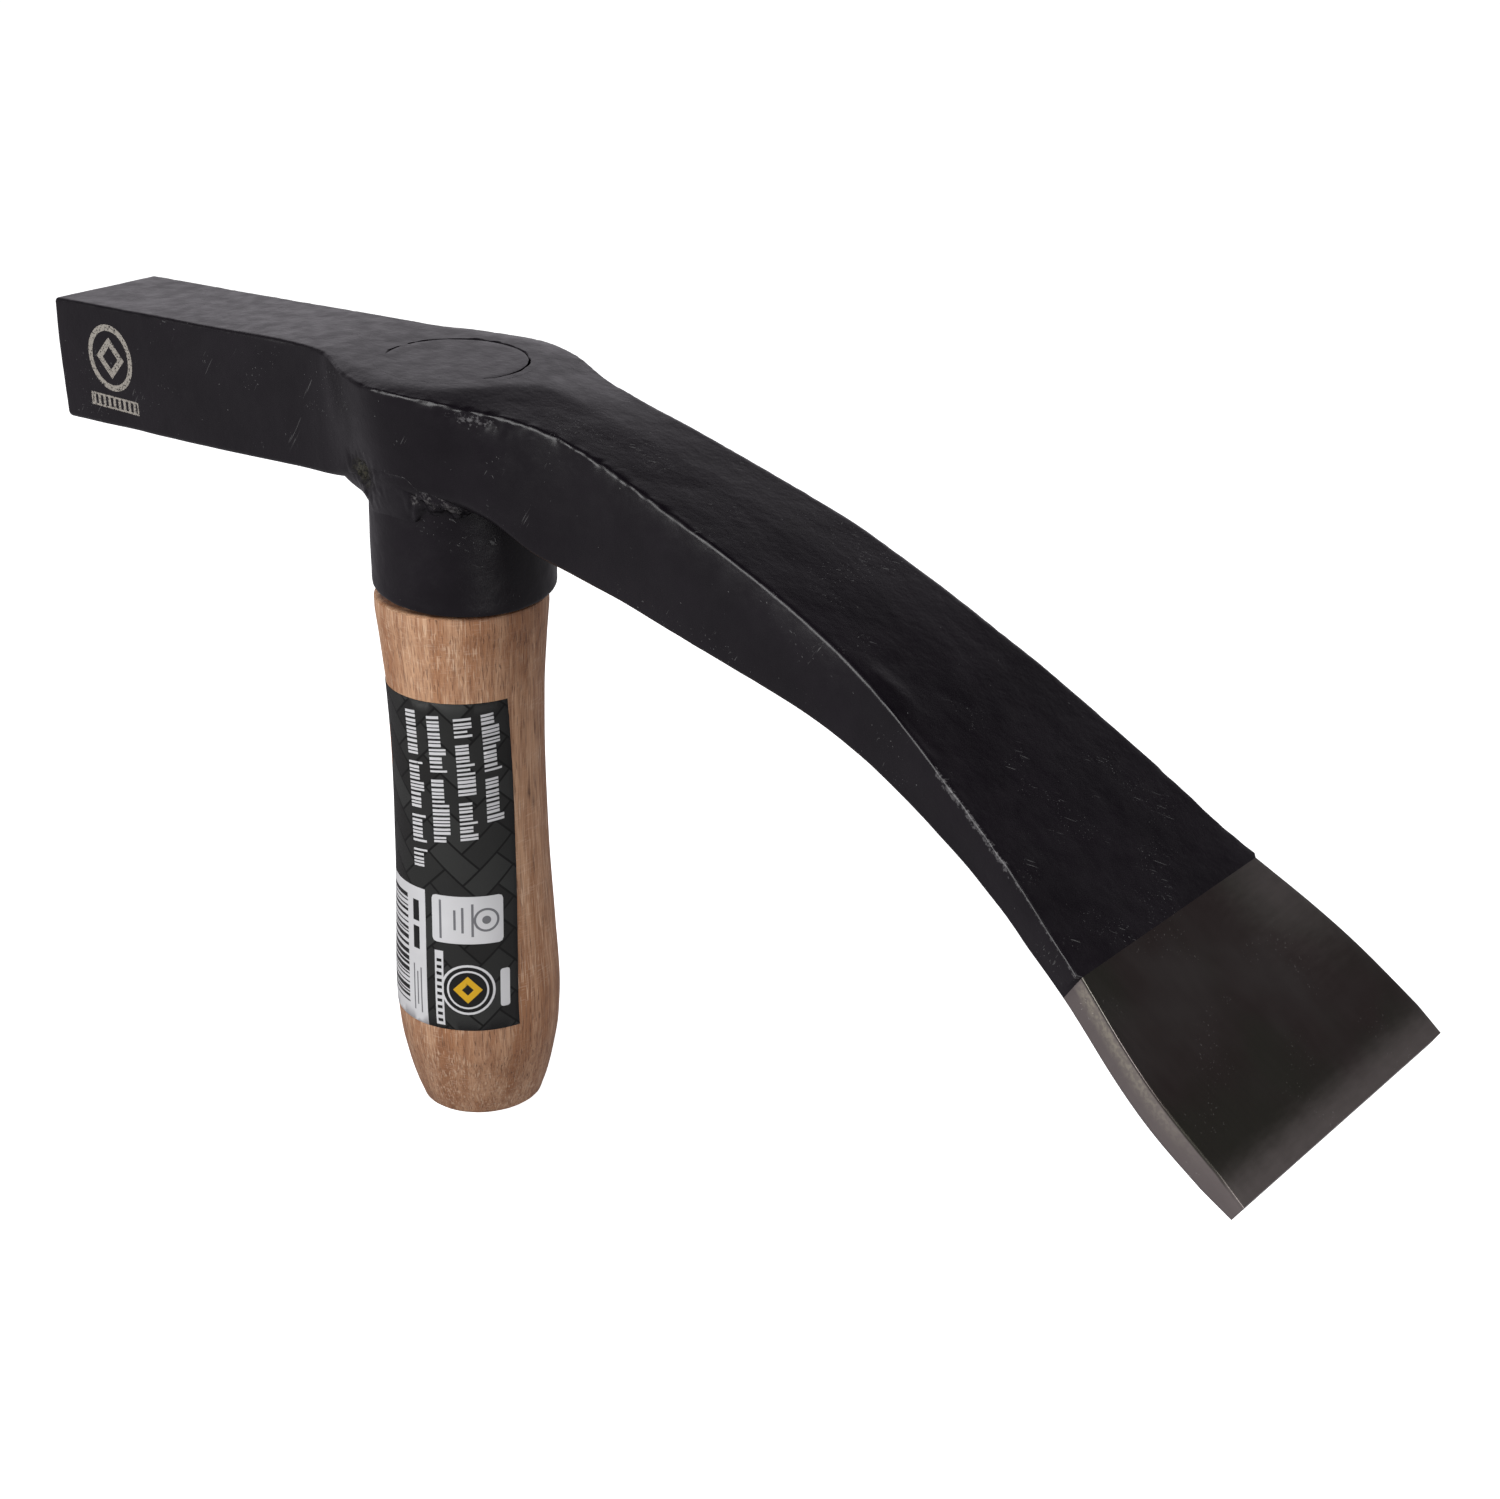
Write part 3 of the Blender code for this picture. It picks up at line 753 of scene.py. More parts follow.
def weld_pit(point):
    """How deep in the rough pit at the weld a point is, from 0 to 1."""
    away = Vector(point) - Vector(WELD_PIT)
    return math.exp(-(Vector((away.x * 0.55, away.y * 0.5, away.z * 0.8)).length / 2.7) ** 2)


def ridge_wear_and_glints(x, y, ridge):
    """How pale grey the paint is near the top ridges: bare in chips, in patches and at the blade's
    corner, with painted glints on the boss's near ridge and a painted highlight line along the blade's
    near ridge.
    """
    on_side = ridge - 0.35
    thin_line = math.exp(-(on_side / 0.45) ** 2)
    wide_line = math.exp(-(on_side / 1.3) ** 2)
    # Painted glints, over real chips, on the boss's near ridge.
    glints = 0.62 * window(x, 3.0, 14.0, 2.0)
    chips = 0.30 * window(x, 30.0, 74.0, 8.0) + 0.12 * window(x, 80.0, 126.0, 8.0)
    fuzz = 0.37 * window(x, 56.0, 104.0, 12.0)
    corner = 0.62 * window(x, 128.0, 144.0, 3.0)
    # Painted highlight line along the blade's near ridge.
    line = 0.55 * window(x, 146.0, GROUND_END, 3.0)
    patch = 0.60 * math.exp(-((x - 22.0) / 8.0) ** 2 - ((ridge - 1.6) / 1.9) ** 2)
    if y > 0.0:
        return 0.5 * thin_line * (chips + corner)
    broken = 0.62 + 0.75 * rough((x, y, 0.0), 5.0, 55.0)
    return max(thin_line * (glints + chips) * broken, thin_line * line,
               wide_line * max(corner, fuzz), patch)


def forged(point, ridge):
    """How far the hammered surface stands out from its true shape, in millimetres."""
    x, y, _ = point
    painted = 1.0 - step(x, GROUND_END - 1.5, GROUND_END)
    out = 0.16 * rough(point, 21.0) + 0.07 * rough(point, 8.0, 3.0) + 0.03 * rough(point, 3.2, 5.0)
    out *= 0.15 + 0.85 * painted
    at_ridge = math.exp(-(ridge / 0.9) ** 2)
    if y < 0.0:
        battered = 0.25 + window(x, 2.0, 72.0, 8.0) + window(x, 128.0, 144.0, 4.0)
        patch = math.exp(-((x - 23.0) / 7.0) ** 2 - ((ridge - 1.5) / 1.8) ** 2)
        out += patch * (0.65 * rough(point, 1.5, 13.0) + 0.3 * rough(point, 0.8, 14.0) - 0.15)
        bump = math.exp(-((x - 114.0) / 4.5) ** 2 - ((y + 14.6) / 1.7) ** 2)
        dip = math.exp(-((x - 121.0) / 8.0) ** 2 - ((y + 18.2) / 1.3) ** 2)
        out += (0.25 * bump - 0.14 * dip) * (1.0 if ridge < 0.0 else 0.0)
    else:
        battered = 0.35
    burr = 0.15 * rough(point, 1.5, 7.0) + 0.10 * rough(point, 0.8, 9.0)
    chip = max(0.0, rough(point, 2.2, 11.0) - 0.25)
    out += at_ridge * (burr - 0.5 * chip) * battered * painted
    out -= weld_pit(point) * (0.7 + 1.6 * rough(point, 1.2, 15.0))
    return out


def build_head():
    """The forging with its eye and recess cut, and two ways to measure it before the cuts."""
    poll_end = HEAD_SIDE[0][0]
    face = head_ring(poll_end, POLL_EDGE)
    middle = sum((Vector(p[:3]) for p in face), Vector()) / len(face)
    rings = [[(*middle.lerp(Vector(p[:3]), k / 10.0), FAR_FROM_RIDGE) for p in face]
             for k in range(1, 10)]
    steps = 5
    for k in range(steps):
        angle = math.pi / 2.0 * k / steps
        rings.append(head_ring(poll_end, POLL_EDGE * (1.0 - math.sin(angle)),
                               POLL_EDGE * (1.0 - math.cos(angle))))
    rings += [head_ring(x) for x in head_places()]

    shape, rows = closed_loft([[p[:3] for p in ring] for ring in rings])
    centre = shape.verts.new(middle)
    for k, vertex in enumerate(rows[0]):
        shape.faces.new((centre, rows[0][(k + 1) % len(rows[0])], vertex))
    shape.faces.new(rows[-1])
    face_outward(shape)
    shape.normal_update()
    ridge_of = {v: p[3] for row, ring in zip(rows, rings) for v, p in zip(row, ring)}
    moves = []
    for vertex in shape.verts:
        ridge = ridge_of.get(vertex, FAR_FROM_RIDGE)
        moves.append(vertex.normal * forged(vertex.co, ridge))
    for vertex, move in zip(shape.verts, moves):
        vertex.co += move
        plane = ground_plane_height(vertex.co.x) + 0.05 * rough(vertex.co, 6.0, 19.0)
        over = vertex.co.z - plane
        if over > -3.0:
            vertex.co.z = plane + (over - math.sqrt(over * over + GROUND_BLUR ** 2)) / 2.0

    # Pale grey for the ridges: bare chips and patches, and painted glints and a painted highlight line.
    wear_and_glints = []
    rust = []
    bright = []
    for vertex in shape.verts:
        x, y, z = vertex.co
        ridge = ridge_of.get(vertex, FAR_FROM_RIDGE)
        wear_and_glints.append(ridge_wear_and_glints(x, y, ridge))
        to_edge = math.hypot(x - CUTTING_EDGE[0], z - CUTTING_EDGE[1])
        # Lighter in a broad soft patch over the far side of the top, just past the ground line.
        lighter_far_top = 0.55 * math.exp(-((x - 166.0) / 13.0) ** 2) * step(y, 2.0, 26.0)
        honed = 0.78 * (1.0 - step(to_edge, 0.5, 10.0))
        bright.append(max(honed, step(ridge, 0.2, 0.6), lighter_far_top))
        burnt = window(x, GROUND_END, 170.0, 20.0) * step(ridge, 0.3, 0.8) * (1.0 - step(ridge, 1.2, 3.6))
        rust.append(weld_pit(vertex.co) if x < GROUND_END else burnt * (y < 0.0))

    ground = {v for row, ring in zip(rows, rings) if ring[0][0] > GROUND_END - 0.1 for v in row}
    for face in shape.faces:
        if all(v in ground for v in face.verts):
            face.material_index = 1
    whole = bvhtree.BVHTree.FromBMesh(shape)
    mesh = to_mesh("head_forging", shape)
    put_attribute(mesh, "wear_and_glints", wear_and_glints)
    put_attribute(mesh, "rust", rust)
    put_attribute(mesh, "bright", bright)
    eye = round_cutter(EYE_RADIUS, 120.0, TENON_TOP)
    recess = round_cutter(RECESS_RADIUS, RECESS_BOTTOM, 170.0, PLUG_OFFSET, 0.12)

    def top_of_head(x, y):
        """Height of the head's top before the eye was cut in it."""
        return whole.ray_cast(Vector((x, y, 200.0)), Vector((0.0, 0.0, -1.0)))[0].z

    def side_of_head(angle, z):
        """Distance of the head's side from the handle's axis, at a height."""
        c, s = math.cos(angle), math.sin(angle)
        hit = whole.ray_cast(Vector((c * 60.0, s * 60.0, z)), Vector((-c, -s, 0.0)))[0]
        return math.hypot(hit.x, hit.y)

    return cut_away(mesh, [eye, recess]), top_of_head, side_of_head


# ---------------------------------------------------------------- disc in the eye and its weld

def ring_gap(angle):
    """Width of the open seam round the disc at an angle in degrees from +X."""
    right = window(angle, -20.0, 128.0, 8.0) + window(angle, 340.0, 488.0, 8.0)
    wide = window(angle, 94.0, 126.0, 8.0)
    thin = window(angle, 134.0, 172.0, 8.0)
    left = window(angle, 190.0, 208.0, 6.0)
    spot = (math.cos(math.radians(angle)) * 5.0, math.sin(math.radians(angle)) * 5.0, 0.0)
    wander = max(0.0, 0.75 + 0.8 * rough(spot, 0.8, 21.0))
    return wander * (0.55 * right + 0.45 * wide + 0.42 * thin + 0.35 * left)


def disc_edge(k, steps):
    """Radius of the disc's edge, a little uneven, at step k."""
    angle = math.tau * k / steps
    return PLUG_RADIUS + 0.15 * rough((math.cos(angle) * 6.0, math.sin(angle) * 6.0, 0.0), 1.5, 23.0)


def build_disc(top_of_head):
    """The disc, its edge rounded over wherever the seam is open."""
    steps = 180
    low = TENON_TOP + 0.1
    profile = [(share, 0.0, 0.03 * step(share, 0.9, 0.97)) for share in (0.2, 0.4, 0.6, 0.8, 0.9, 0.97)]
    profile += [(1.0, 0.02, 0.09), (1.0, 0.0, 0.20), (1.0, 0.03, 0.45), (1.0, 0.1, 3.0)]
    rings = []
    for share, draw_in, drop in profile:
        rings.append([])
        for k in range(steps):
            angle = math.tau * k / steps
            r = disc_edge(k, steps) * share - draw_in
            x, y = PLUG_OFFSET + r * math.cos(angle), r * math.sin(angle)
            rounded = min(1.0, ring_gap(360.0 * k / steps) / 0.3) if drop < 0.1 else 1.0
            rings[-1].append((x, y, top_of_head(x, y) - drop * rounded))
    rings.append([(x, y, low) for x, y, _ in rings[-1]])
    shape, rows = closed_loft(rings)
    centre = shape.verts.new((PLUG_OFFSET, 0.0, top_of_head(PLUG_OFFSET, 0.0)))
    for k in range(steps):
        shape.faces.new((centre, rows[0][(k + 1) % steps], rows[0][k]))
    shape.faces.new(rows[-1])
    face_outward(shape)
    return to_mesh("disc", shape)


def build_disc_weld(top_of_head):
    """Ring of weld between the disc and the head, ground flush, with the seam left open in places."""
    steps = 360
    proud = -0.01
    outer = RECESS_RADIUS + 0.6
    rings = []
    for k in range(steps):
        degrees = 360.0 * k / steps
        angle = math.radians(degrees)
        gap = ring_gap(degrees)
        closed = 1.0 - step(gap, 0.02, 0.12)
        inner = disc_edge(k / 2.0, 180) + gap - 0.35 * closed
        round_off = 0.14 * (1.0 - closed)
        profile = ((inner + 0.02 + round_off, proud), ((inner + outer) / 2.0, proud),
                   (outer, proud), (outer, 2.2), (inner, 2.2), (inner, 0.02 + round_off))
        ring = []
        for r, drop in profile:
            x, y = PLUG_OFFSET + r * math.cos(angle), r * math.sin(angle)
            ring.append((x, y, top_of_head(x, y) - drop))
        rings.append(ring)
    shape = closed_loft(rings, join_ends=True)[0]
    face_outward(shape)
    return to_mesh("disc_weld", shape)


# ---------------------------------------------------------------- socket and its weld

def tube_outside(angle):
    """Distance of the socket's outside from the handle's axis."""
    c, s = math.cos(angle), math.sin(angle)
    x, y = TUBE_SHIFT
    return x * c + y * s + math.sqrt(TUBE_RADIUS ** 2 - (x * s - y * c) ** 2)


def rim_height(angle):
    """Height of the socket's rim, which is cut slightly out of square."""
    lean = math.tan(math.radians(RIM_TILT)) * TUBE_RADIUS
    return RIM_HEIGHT - lean * math.cos(angle - math.radians(RIM_LOW_SIDE))


def build_socket():
    """The tube: its outside, its rubbed rim and its bore."""
    steps = 200
    rings = []
    for angle in full_turn(steps):
        c, s = math.cos(angle), math.sin(angle)
        outside = tube_outside(angle)
        top = underside_height(outside * c, outside * s) + 1.2
        rim = rim_height(angle) + 0.12 * rough((c * 8.0, s * 8.0, 0.0), 2.0, 27.0)
        rows = 26
        low = rim + 0.7
        profile = [(outside + TUBE_FLARE * row / (rows - 1), top + (low - top) * row / (rows - 1))
                   for row in range(rows)]
        wide = outside + TUBE_FLARE
        profile += [(wide - 0.04, rim + 0.35), (wide - 0.18, rim + 0.1),
                    (wide - 0.45, rim), (EYE_RADIUS + 0.5, rim), (EYE_RADIUS, rim + 0.4),
                    (EYE_RADIUS, (rim + top) / 2.0), (EYE_RADIUS, top)]
        ring = []
        for r, z in profile:
            if r > outside - 0.5:
                spot = (c * r, s * r, z)
                r += 0.10 * rough(spot, 9.0, 29.0) + 0.05 * rough(spot, 2.6, 31.0)
                r -= 0.25 * max(0.0, rough(spot, 1.6, 33.0) - 0.42)
            ring.append((c * r, s * r, z))
        rings.append(ring)
    shape = closed_loft(rings, join_ends=True)[0]
    face_outward(shape)
    return to_mesh("socket", shape)


def weld_end(angle, leg):
    """Where the weld's outer edge meets the head: radius and height, on the boss's corner at most."""
    c, s = math.cos(angle), math.sin(angle)
    radius = tube_outside(angle) + leg
    half = bottom_half_width(radius * c) - 0.5
    radius = min(radius, half / max(abs(s), 0.01))
    return radius, underside_height(radius * c, radius * s)


def build_socket_weld(side_of_head):
    """Fillet of weld in the corner between the tube and the head, smeared up the near side."""
    steps = 420
    across = 16
    rings = []
    rust = []
    wear_and_glints = []
    for angle in full_turn(steps):
        degrees = math.degrees(angle)
        c, s = math.cos(angle), math.sin(angle)
        at_poll = max(0.0, -c) ** 1.5
        near = window(degrees, 236.0, 312.0, 14.0)
        beaded = window(degrees, 291.0, 333.0, 8.0)
        smeared = window(degrees, 248.0, 286.0, 12.0)
        outside = tube_outside(angle)
        spot = Vector((c * outside, s * outside, 0.0))
        leg = FILLET_LEG + FILLET_EXTRA_AT_POLL * at_poll + 1.2 * near
        leg *= 1.0 + (1.0 - smeared) * (0.14 * rough(spot, 4.0, 35.0) + 0.08 * rough(spot, 1.7, 37.0))
        start = Vector((outside - 0.25 + 0.22 * smeared,
                        underside_height(*spot.xy) - 0.85 * leg - 2.0 * smeared))
        end = Vector(weld_end(angle, leg))
        if smeared > 0.0:
            height = end.y + 2.6 * smeared
            up_side = Vector((side_of_head(angle, height) + 0.04, height))
            end = end.lerp(up_side, step(smeared, 0.0, 0.3))
        ring = []
        for j in range(across + 1):
            t = j / across
            point = start.lerp(end, t)
            swell = math.sin(math.pi * t)
            lump = 0.10 * rough((*spot.xy, t * 6.0), 2.2, 39.0) * (1.0 - 0.6 * smeared)
            lump += beaded * (rough((*spot.xy, t * 5.0), 2.0, 41.0)
                              + 0.5 * rough((*spot.xy, t * 5.0), 1.0, 43.0))
            point += Vector((0.7, -0.7)) * (lump * min(1.0, 2.5 * swell) + 0.25 * swell)
            place = Vector((c * point.x, s * point.x, point.y))
            pit = weld_pit(place)
            place -= Vector((c, s, -1.0)) * pit * (0.4 + 1.2 * rough(place, 1.2, 15.0))
            ring.append(place)
            rust.append(pit)
            # Painted highlights on the bead's lumps.
            wear_and_glints.append(beaded * (0.52 + 0.35 * rough(place, 2.5, 57.0)) * step(t, 0.15, 0.5))
        inside = Vector((end.x - 1.2, end.y + 1.6))
        ring.append((c * inside.x, s * inside.x, inside.y))
        ring.append((c * (outside - 0.9), s * (outside - 0.9), start.y + 0.3))
        rust += [0.0, 0.0]
        wear_and_glints += [0.0, 0.0]
        rings.append(ring)
    shape = closed_loft(rings, join_ends=True)[0]
    face_outward(shape)
    mesh = to_mesh("socket_weld", shape, 60.0)
    put_attribute(mesh, "rust", rust)
    put_attribute(mesh, "wear_and_glints", wear_and_glints)
    return mesh


# ---------------------------------------------------------------- handle

def build_handle():
    """The turned handle with its tenon, and how dark the wood is made: paint smear below the rim and dark
    knots, with painted shading on the shoulder under the rim and towards the butt.
    """
    steps = 160
    profile = [(TENON_RADIUS - 1.0, TENON_TOP - 0.3, 0.0), (TENON_RADIUS, TENON_TOP - 1.3, 0.0)]
    profile += [(TENON_RADIUS, z, 0.0) for z in (140.0, 130.0, 122.0, 118.0, 116.0, 114.0, 113.0)]
    profile += [(TENON_RADIUS, SHOULDER_HEIGHT, 0.3), (15.8, SHOULDER_HEIGHT, 0.6),
                (SHOULDER_RADIUS - 0.5, SHOULDER_HEIGHT, 0.8),
                (SHOULDER_RADIUS - 0.1, SHOULDER_HEIGHT - 0.3, 1.0)]
    rows = 150
    top = SHOULDER_HEIGHT - 0.9
    for k in range(rows):
        z = top + (0.9 - top) * k / (rows - 1)
        profile.append((handle_radius(z), z, 1.0))
    edge = handle_radius(0.9)
    profile += [(edge - 0.15, 0.4, 1.0), (edge - 0.5, 0.1, 1.0), (edge - 1.0, 0.0, 0.5)]
    profile += [((edge - 1.0) * share, 0.0, 0.5) for share in (0.85, 0.6, 0.35, 0.12)]
    rings = []
    for r, z, free in profile:
        ring = []
        for angle in full_turn(steps):
            c, s = math.cos(angle), math.sin(angle)
            spot = Vector((c * r, s * r, z))
            out = 0.10 * rough((spot.x, spot.y, z * 0.4), 14.0, 45.0)
            out += 0.05 * rough((spot.x, spot.y, z * 0.12), 2.0, 47.0)
            out -= 0.12 * max(0.0, rough((spot.x, spot.y, z * 0.5), 3.0, 49.0) - 0.4)
            ring.append((c * (r + out * free), s * (r + out * free), z))
        rings.append(ring)
    shape, rows = closed_loft(rings)
    shape.faces.new(list(reversed(rows[0])))
    shape.faces.new(rows[-1])
    face_outward(shape)
    stain_and_shade = []
    for vertex in shape.verts:
        x, y, z = vertex.co
        angle = math.atan2(y, x)
        r = math.hypot(x, y)
        to_rim = rim_height(angle) - z
        painted_side = max(0.0, math.cos(angle - math.radians(20.0)))
        smear = 1.0 - step(to_rim, 0.5, 1.0 + 0.8 * painted_side)
        # Painted shading on the shoulder's flat under the socket's rim.
        inside = 1.0 - step(r, 15.8, 17.0)
        marks_and_shade = max(0.75 * smear, 0.8 * inside) if z > 105.0 else 0.0
        for knot_angle, knot_height in KNOTS:
            across = (angle - math.radians(knot_angle)) * r
            marks_and_shade += 0.9 * math.exp(-(across / 0.45) ** 2 - ((z - knot_height) / 1.3) ** 2)
        marks_and_shade *= 0.8 + 0.5 * rough(vertex.co, 1.6, 51.0)
        # Painted shading towards the butt.
        stain_and_shade.append(marks_and_shade + 0.28 * (1.0 - step(z, 8.0, 30.0)))
    mesh = to_mesh("handle", shape)
    put_attribute(mesh, "stain_and_shade", stain_and_shade)
    return mesh


# ---------------------------------------------------------------- label

LABEL_WIDTH = math.radians(LABEL_END - LABEL_START) * LABEL_RADIUS
LABEL_HEIGHT = LABEL_TOP - LABEL_BOTTOM
BRICK = 4.9                    # width of a printed brick; its length is twice that
LINE = 0.42                    # dark line between the bricks
WORD_ROWS = (                  # rows of strokes: degrees from +X, top height, bottom height
    (-30.5, 91.2, 66.7),
    (-49.8, 90.5, 63.7),
    (-69.3, 90.7, 61.3),
    (-88.0, 91.1, 56.7),
)
STROKE_GAP = 0.25
GROUP_GAP = 0.22               # this much more between two groups of strokes
WORD_GAP = 1.1                 # and this much more between two words
ROW_MARGIN = 1.5               # no word starts nearer than this to the end of its row
INKS = {
    "line": ((0.0045, 0.0045, 0.0043), 0.55),
    "charcoal_dark": ((0.015, 0.0147, 0.0143), 0.55),
    "charcoal": ((0.021, 0.0213, 0.0206), 0.55),
    "charcoal_light": ((0.029, 0.0297, 0.0286), 0.55),
    "white": ((0.60, 0.60, 0.61), 0.5),
    "grey": ((0.16, 0.16, 0.17), 0.42),
    "black": ((0.012, 0.012, 0.012), 0.42),
    "yellow": ((0.62, 0.36, 0.02), 0.42),
    "terracotta": ((0.50, 0.16, 0.05), 0.42),
}


def across_label(degrees):
    """Millimetres across the label from its start, at an angle in degrees from +X."""
    return math.radians(degrees - LABEL_START) * LABEL_RADIUS


def box_shape(x0, y0, x1, y1, corner=0.0):
    """A rectangle, with cut corners if a corner is given."""
    if not corner:
        return [(x0, y0), (x1, y0), (x1, y1), (x0, y1)]
    c = corner
    b = corner * 0.3
    return [(x0 + c, y0), (x1 - c, y0), (x1 - b, y0 + b), (x1, y0 + c), (x1, y1 - c),
            (x1 - b, y1 - b), (x1 - c, y1), (x0 + c, y1), (x0 + b, y1 - b), (x0, y1 - c),
            (x0, y0 + c), (x0 + b, y0 + b)]


def round_shape(middle_x, middle_y, radius, steps=32):
    """A circle as a many-sided outline."""
    return [(middle_x + radius * math.cos(a), middle_y + radius * math.sin(a))
            for a in full_turn(steps)]


def herringbone():
    """Bricks of a diagonal herringbone over the whole label, each with its ink."""
    draw = random.Random(4)
    shapes = []
    turn = math.radians(45.0)
    for i in range(-14, 15):
        for j in range(-8, 9):
            x, y = i + 2.0 * j, i - 2.0 * j
            for x0, y0, wide, high in ((x, y, 2.0, 1.0), (x + 2.0, y - 1.0, 1.0, 2.0)):
                gap = LINE / BRICK / 2.0
                corners = box_shape(x0 + gap, y0 + gap, x0 + wide - gap, y0 + high - gap)
                outline = []
                for u, v in corners:
                    s = (u * math.cos(turn) - v * math.sin(turn)) * BRICK + LABEL_WIDTH * 0.5
                    t = (u * math.sin(turn) + v * math.cos(turn)) * BRICK + LABEL_HEIGHT * 0.5
                    outline.append((s, t))
                ink = draw.choice(("charcoal", "charcoal", "charcoal_dark", "charcoal_light"))
                inside = any(-3.0 < s < LABEL_WIDTH + 3.0 and -3.0 < t < LABEL_HEIGHT + 3.0
                             for s, t in outline)
                if inside:
                    shapes.append((ink, outline))
    return shapes


def blank_words(middle, top, bottom, draw):
    """A row down the label of plain slanted strokes, where a label has words."""
    half = 1.75
    shapes = []
    t = top
    while t - ROW_MARGIN > bottom:
        for _ in range(draw.randint(4, 8)):
            reach = 2.0 * half * (1.0 if draw.random() < 0.35 else 0.74)
            slant = 0.35 * reach / (half * 2.0)
            low = middle - half
            for _ in range(draw.choice((1, 2, 2, 3))):
                thick = draw.choice((0.44, 0.50, 0.60))
                if t - thick > bottom:
                    shapes.append(("white", [(low, t - thick), (low + reach, t - thick + slant),
                                             (low + reach, t + slant), (low, t)]))
                t -= thick + STROKE_GAP
            t -= GROUP_GAP
        t -= WORD_GAP
    return shapes


def label_shapes():
    """Everything printed on the label, from the bottom ink to the top one."""
    draw = random.Random(11)
    shapes = [("line", box_shape(0.0, 0.0, LABEL_WIDTH, LABEL_HEIGHT))]
    shapes += herringbone()
    for degrees, top, bottom in WORD_ROWS:
        shapes += blank_words(across_label(degrees), top - LABEL_BOTTOM, bottom - LABEL_BOTTOM, draw)

    panel_end = across_label(-85.5)
    panel_top = 52.6 - LABEL_BOTTOM
    shapes.append(("white", box_shape(0.0, 0.0, panel_end, panel_top)))
    t = 3.5
    while t < 27.0:
        thick = draw.choice((0.33, 0.33, 0.66, 0.99))
        shapes.append(("black", box_shape(across_label(-150.0), t, across_label(-104.0), t + thick)))
        t += thick + draw.choice((0.33, 0.5, 0.8))
    for low, high in ((16.6, 21.6), (22.8, 27.4)):
        shapes.append(("black", box_shape(panel_end - 3.4, low, panel_end - 1.7, high)))
    for degrees, low, high in ((-98.5, 2.6, 13.0), (-95.0, 4.0, 11.5), (-91.5, 2.4, 12.6)):
        s = across_label(degrees)
        shapes.append(("grey", box_shape(s, low, s + 0.35, high)))

    box_left, box_right = across_label(-79.7), across_label(-27.2)
    low, high = 41.8 - LABEL_BOTTOM, 52.2 - LABEL_BOTTOM
    shapes.append(("white", box_shape(box_left, low, box_right, high, 0.9)))
    for s, a, b in ((1.6, 0.9, 9.4), (4.6, 3.0, 7.4), (6.2, 2.4, 8.0), (8.2, 1.6, 8.8)):
        shapes.append(("grey", box_shape(box_left + s, low + a, box_left + s + 0.5, low + b)))
    s, t = box_right - 3.4, (low + high) / 2.0
    for ink, size in (("grey", 2.6), ("white", 2.1), ("grey", 0.9)):
        shapes.append((ink, round_shape(s, t, size)))

    s, t = across_label(-53.5), 31.6 - LABEL_BOTTOM
    for ink, size in (("white", 5.6), ("black", 5.1), ("white", 4.3), ("black", 3.9)):
        shapes.append((ink, round_shape(s, t, size)))
    for ink, size in (("yellow", 3.0), ("black", 1.2)):
        shapes.append((ink, [(s - size, t), (s, t - size), (s + size, t), (s, t + size)]))
    shapes.append(("white", box_shape(s + 6.6, t - 4.2, s + 8.6, t + 4.2, 0.5)))
    s = across_label(-78.2)
    shapes.append(("white", box_shape(s, 0.9, s + 1.9, 17.6)))
    t = 1.6
    while t < 16.6:
        shapes.append(("black", box_shape(s + 0.4, t, s + 1.5, t + 0.7)))
        t += 1.5
    shapes.append(("terracotta", box_shape(across_label(-165.0), 53.5, across_label(-126.0), 62.0)))
    return shapes


def build_label():
    """Flat print cut into one mesh by its inks' outlines, then wrapped round the handle.

    Paper keeps its width, so it reaches further round where the handle is thin.
    """
    points = []
    faces = []
    shapes = label_shapes()
    for _, outline in shapes:
        faces.append(list(range(len(points), len(points) + len(outline))))
        points += outline
    edges = []
    columns = 42
    rows = 26
    for k in range(1, columns):
        s = LABEL_WIDTH * k / columns
        edges.append((len(points), len(points) + 1))
        points += [(s, 0.0), (s, LABEL_HEIGHT)]
    for k in range(1, rows):
        t = LABEL_HEIGHT * k / rows
        edges.append((len(points), len(points) + 1))
        points += [(0.0, t), (LABEL_WIDTH, t)]
    made = geometry.delaunay_2d_cdt([Vector(p) for p in points], edges, faces, 0, 0.0005, True)
    corners, triangles, sources = made[0], made[2], made[5]

    names = list(INKS)
    shape = bmesh.new()
    verts = []
    for s, t in corners:
        z = LABEL_BOTTOM + t
        r = handle_radius(z) - PAPER_SINK
        from_middle = s - LABEL_WIDTH / 2.0 + LABEL_LEAN * (1.0 - t / LABEL_HEIGHT)
        angle = math.radians((LABEL_START + LABEL_END) / 2.0) + from_middle / r
        r += 0.05 * rough((s, t, 0.0), 9.0, 53.0)
        verts.append(shape.verts.new((r * math.cos(angle), r * math.sin(angle), z)))
    for triangle, source in zip(triangles, sources):
        if 0 not in source:
            continue
        face = shape.faces.new([verts[k] for k in triangle])
        face.material_index = names.index(shapes[max(source)][0])
    bmesh.ops.delete(shape, geom=[v for v in shape.verts if not v.link_faces], context='VERTS')
    face_outward(shape)
    shape.faces.ensure_lookup_table()
    first = shape.faces[0]
    middle = first.calc_center_median()
    if first.normal.dot(Vector((middle.x, middle.y, 0.0))) < 0.0:
        bmesh.ops.reverse_faces(shape, faces=shape.faces)
    return to_mesh("label", shape, 60.0)


# ---------------------------------------------------------------- build the pieces

paint = black_paint()
bead_paint = weld_paint()

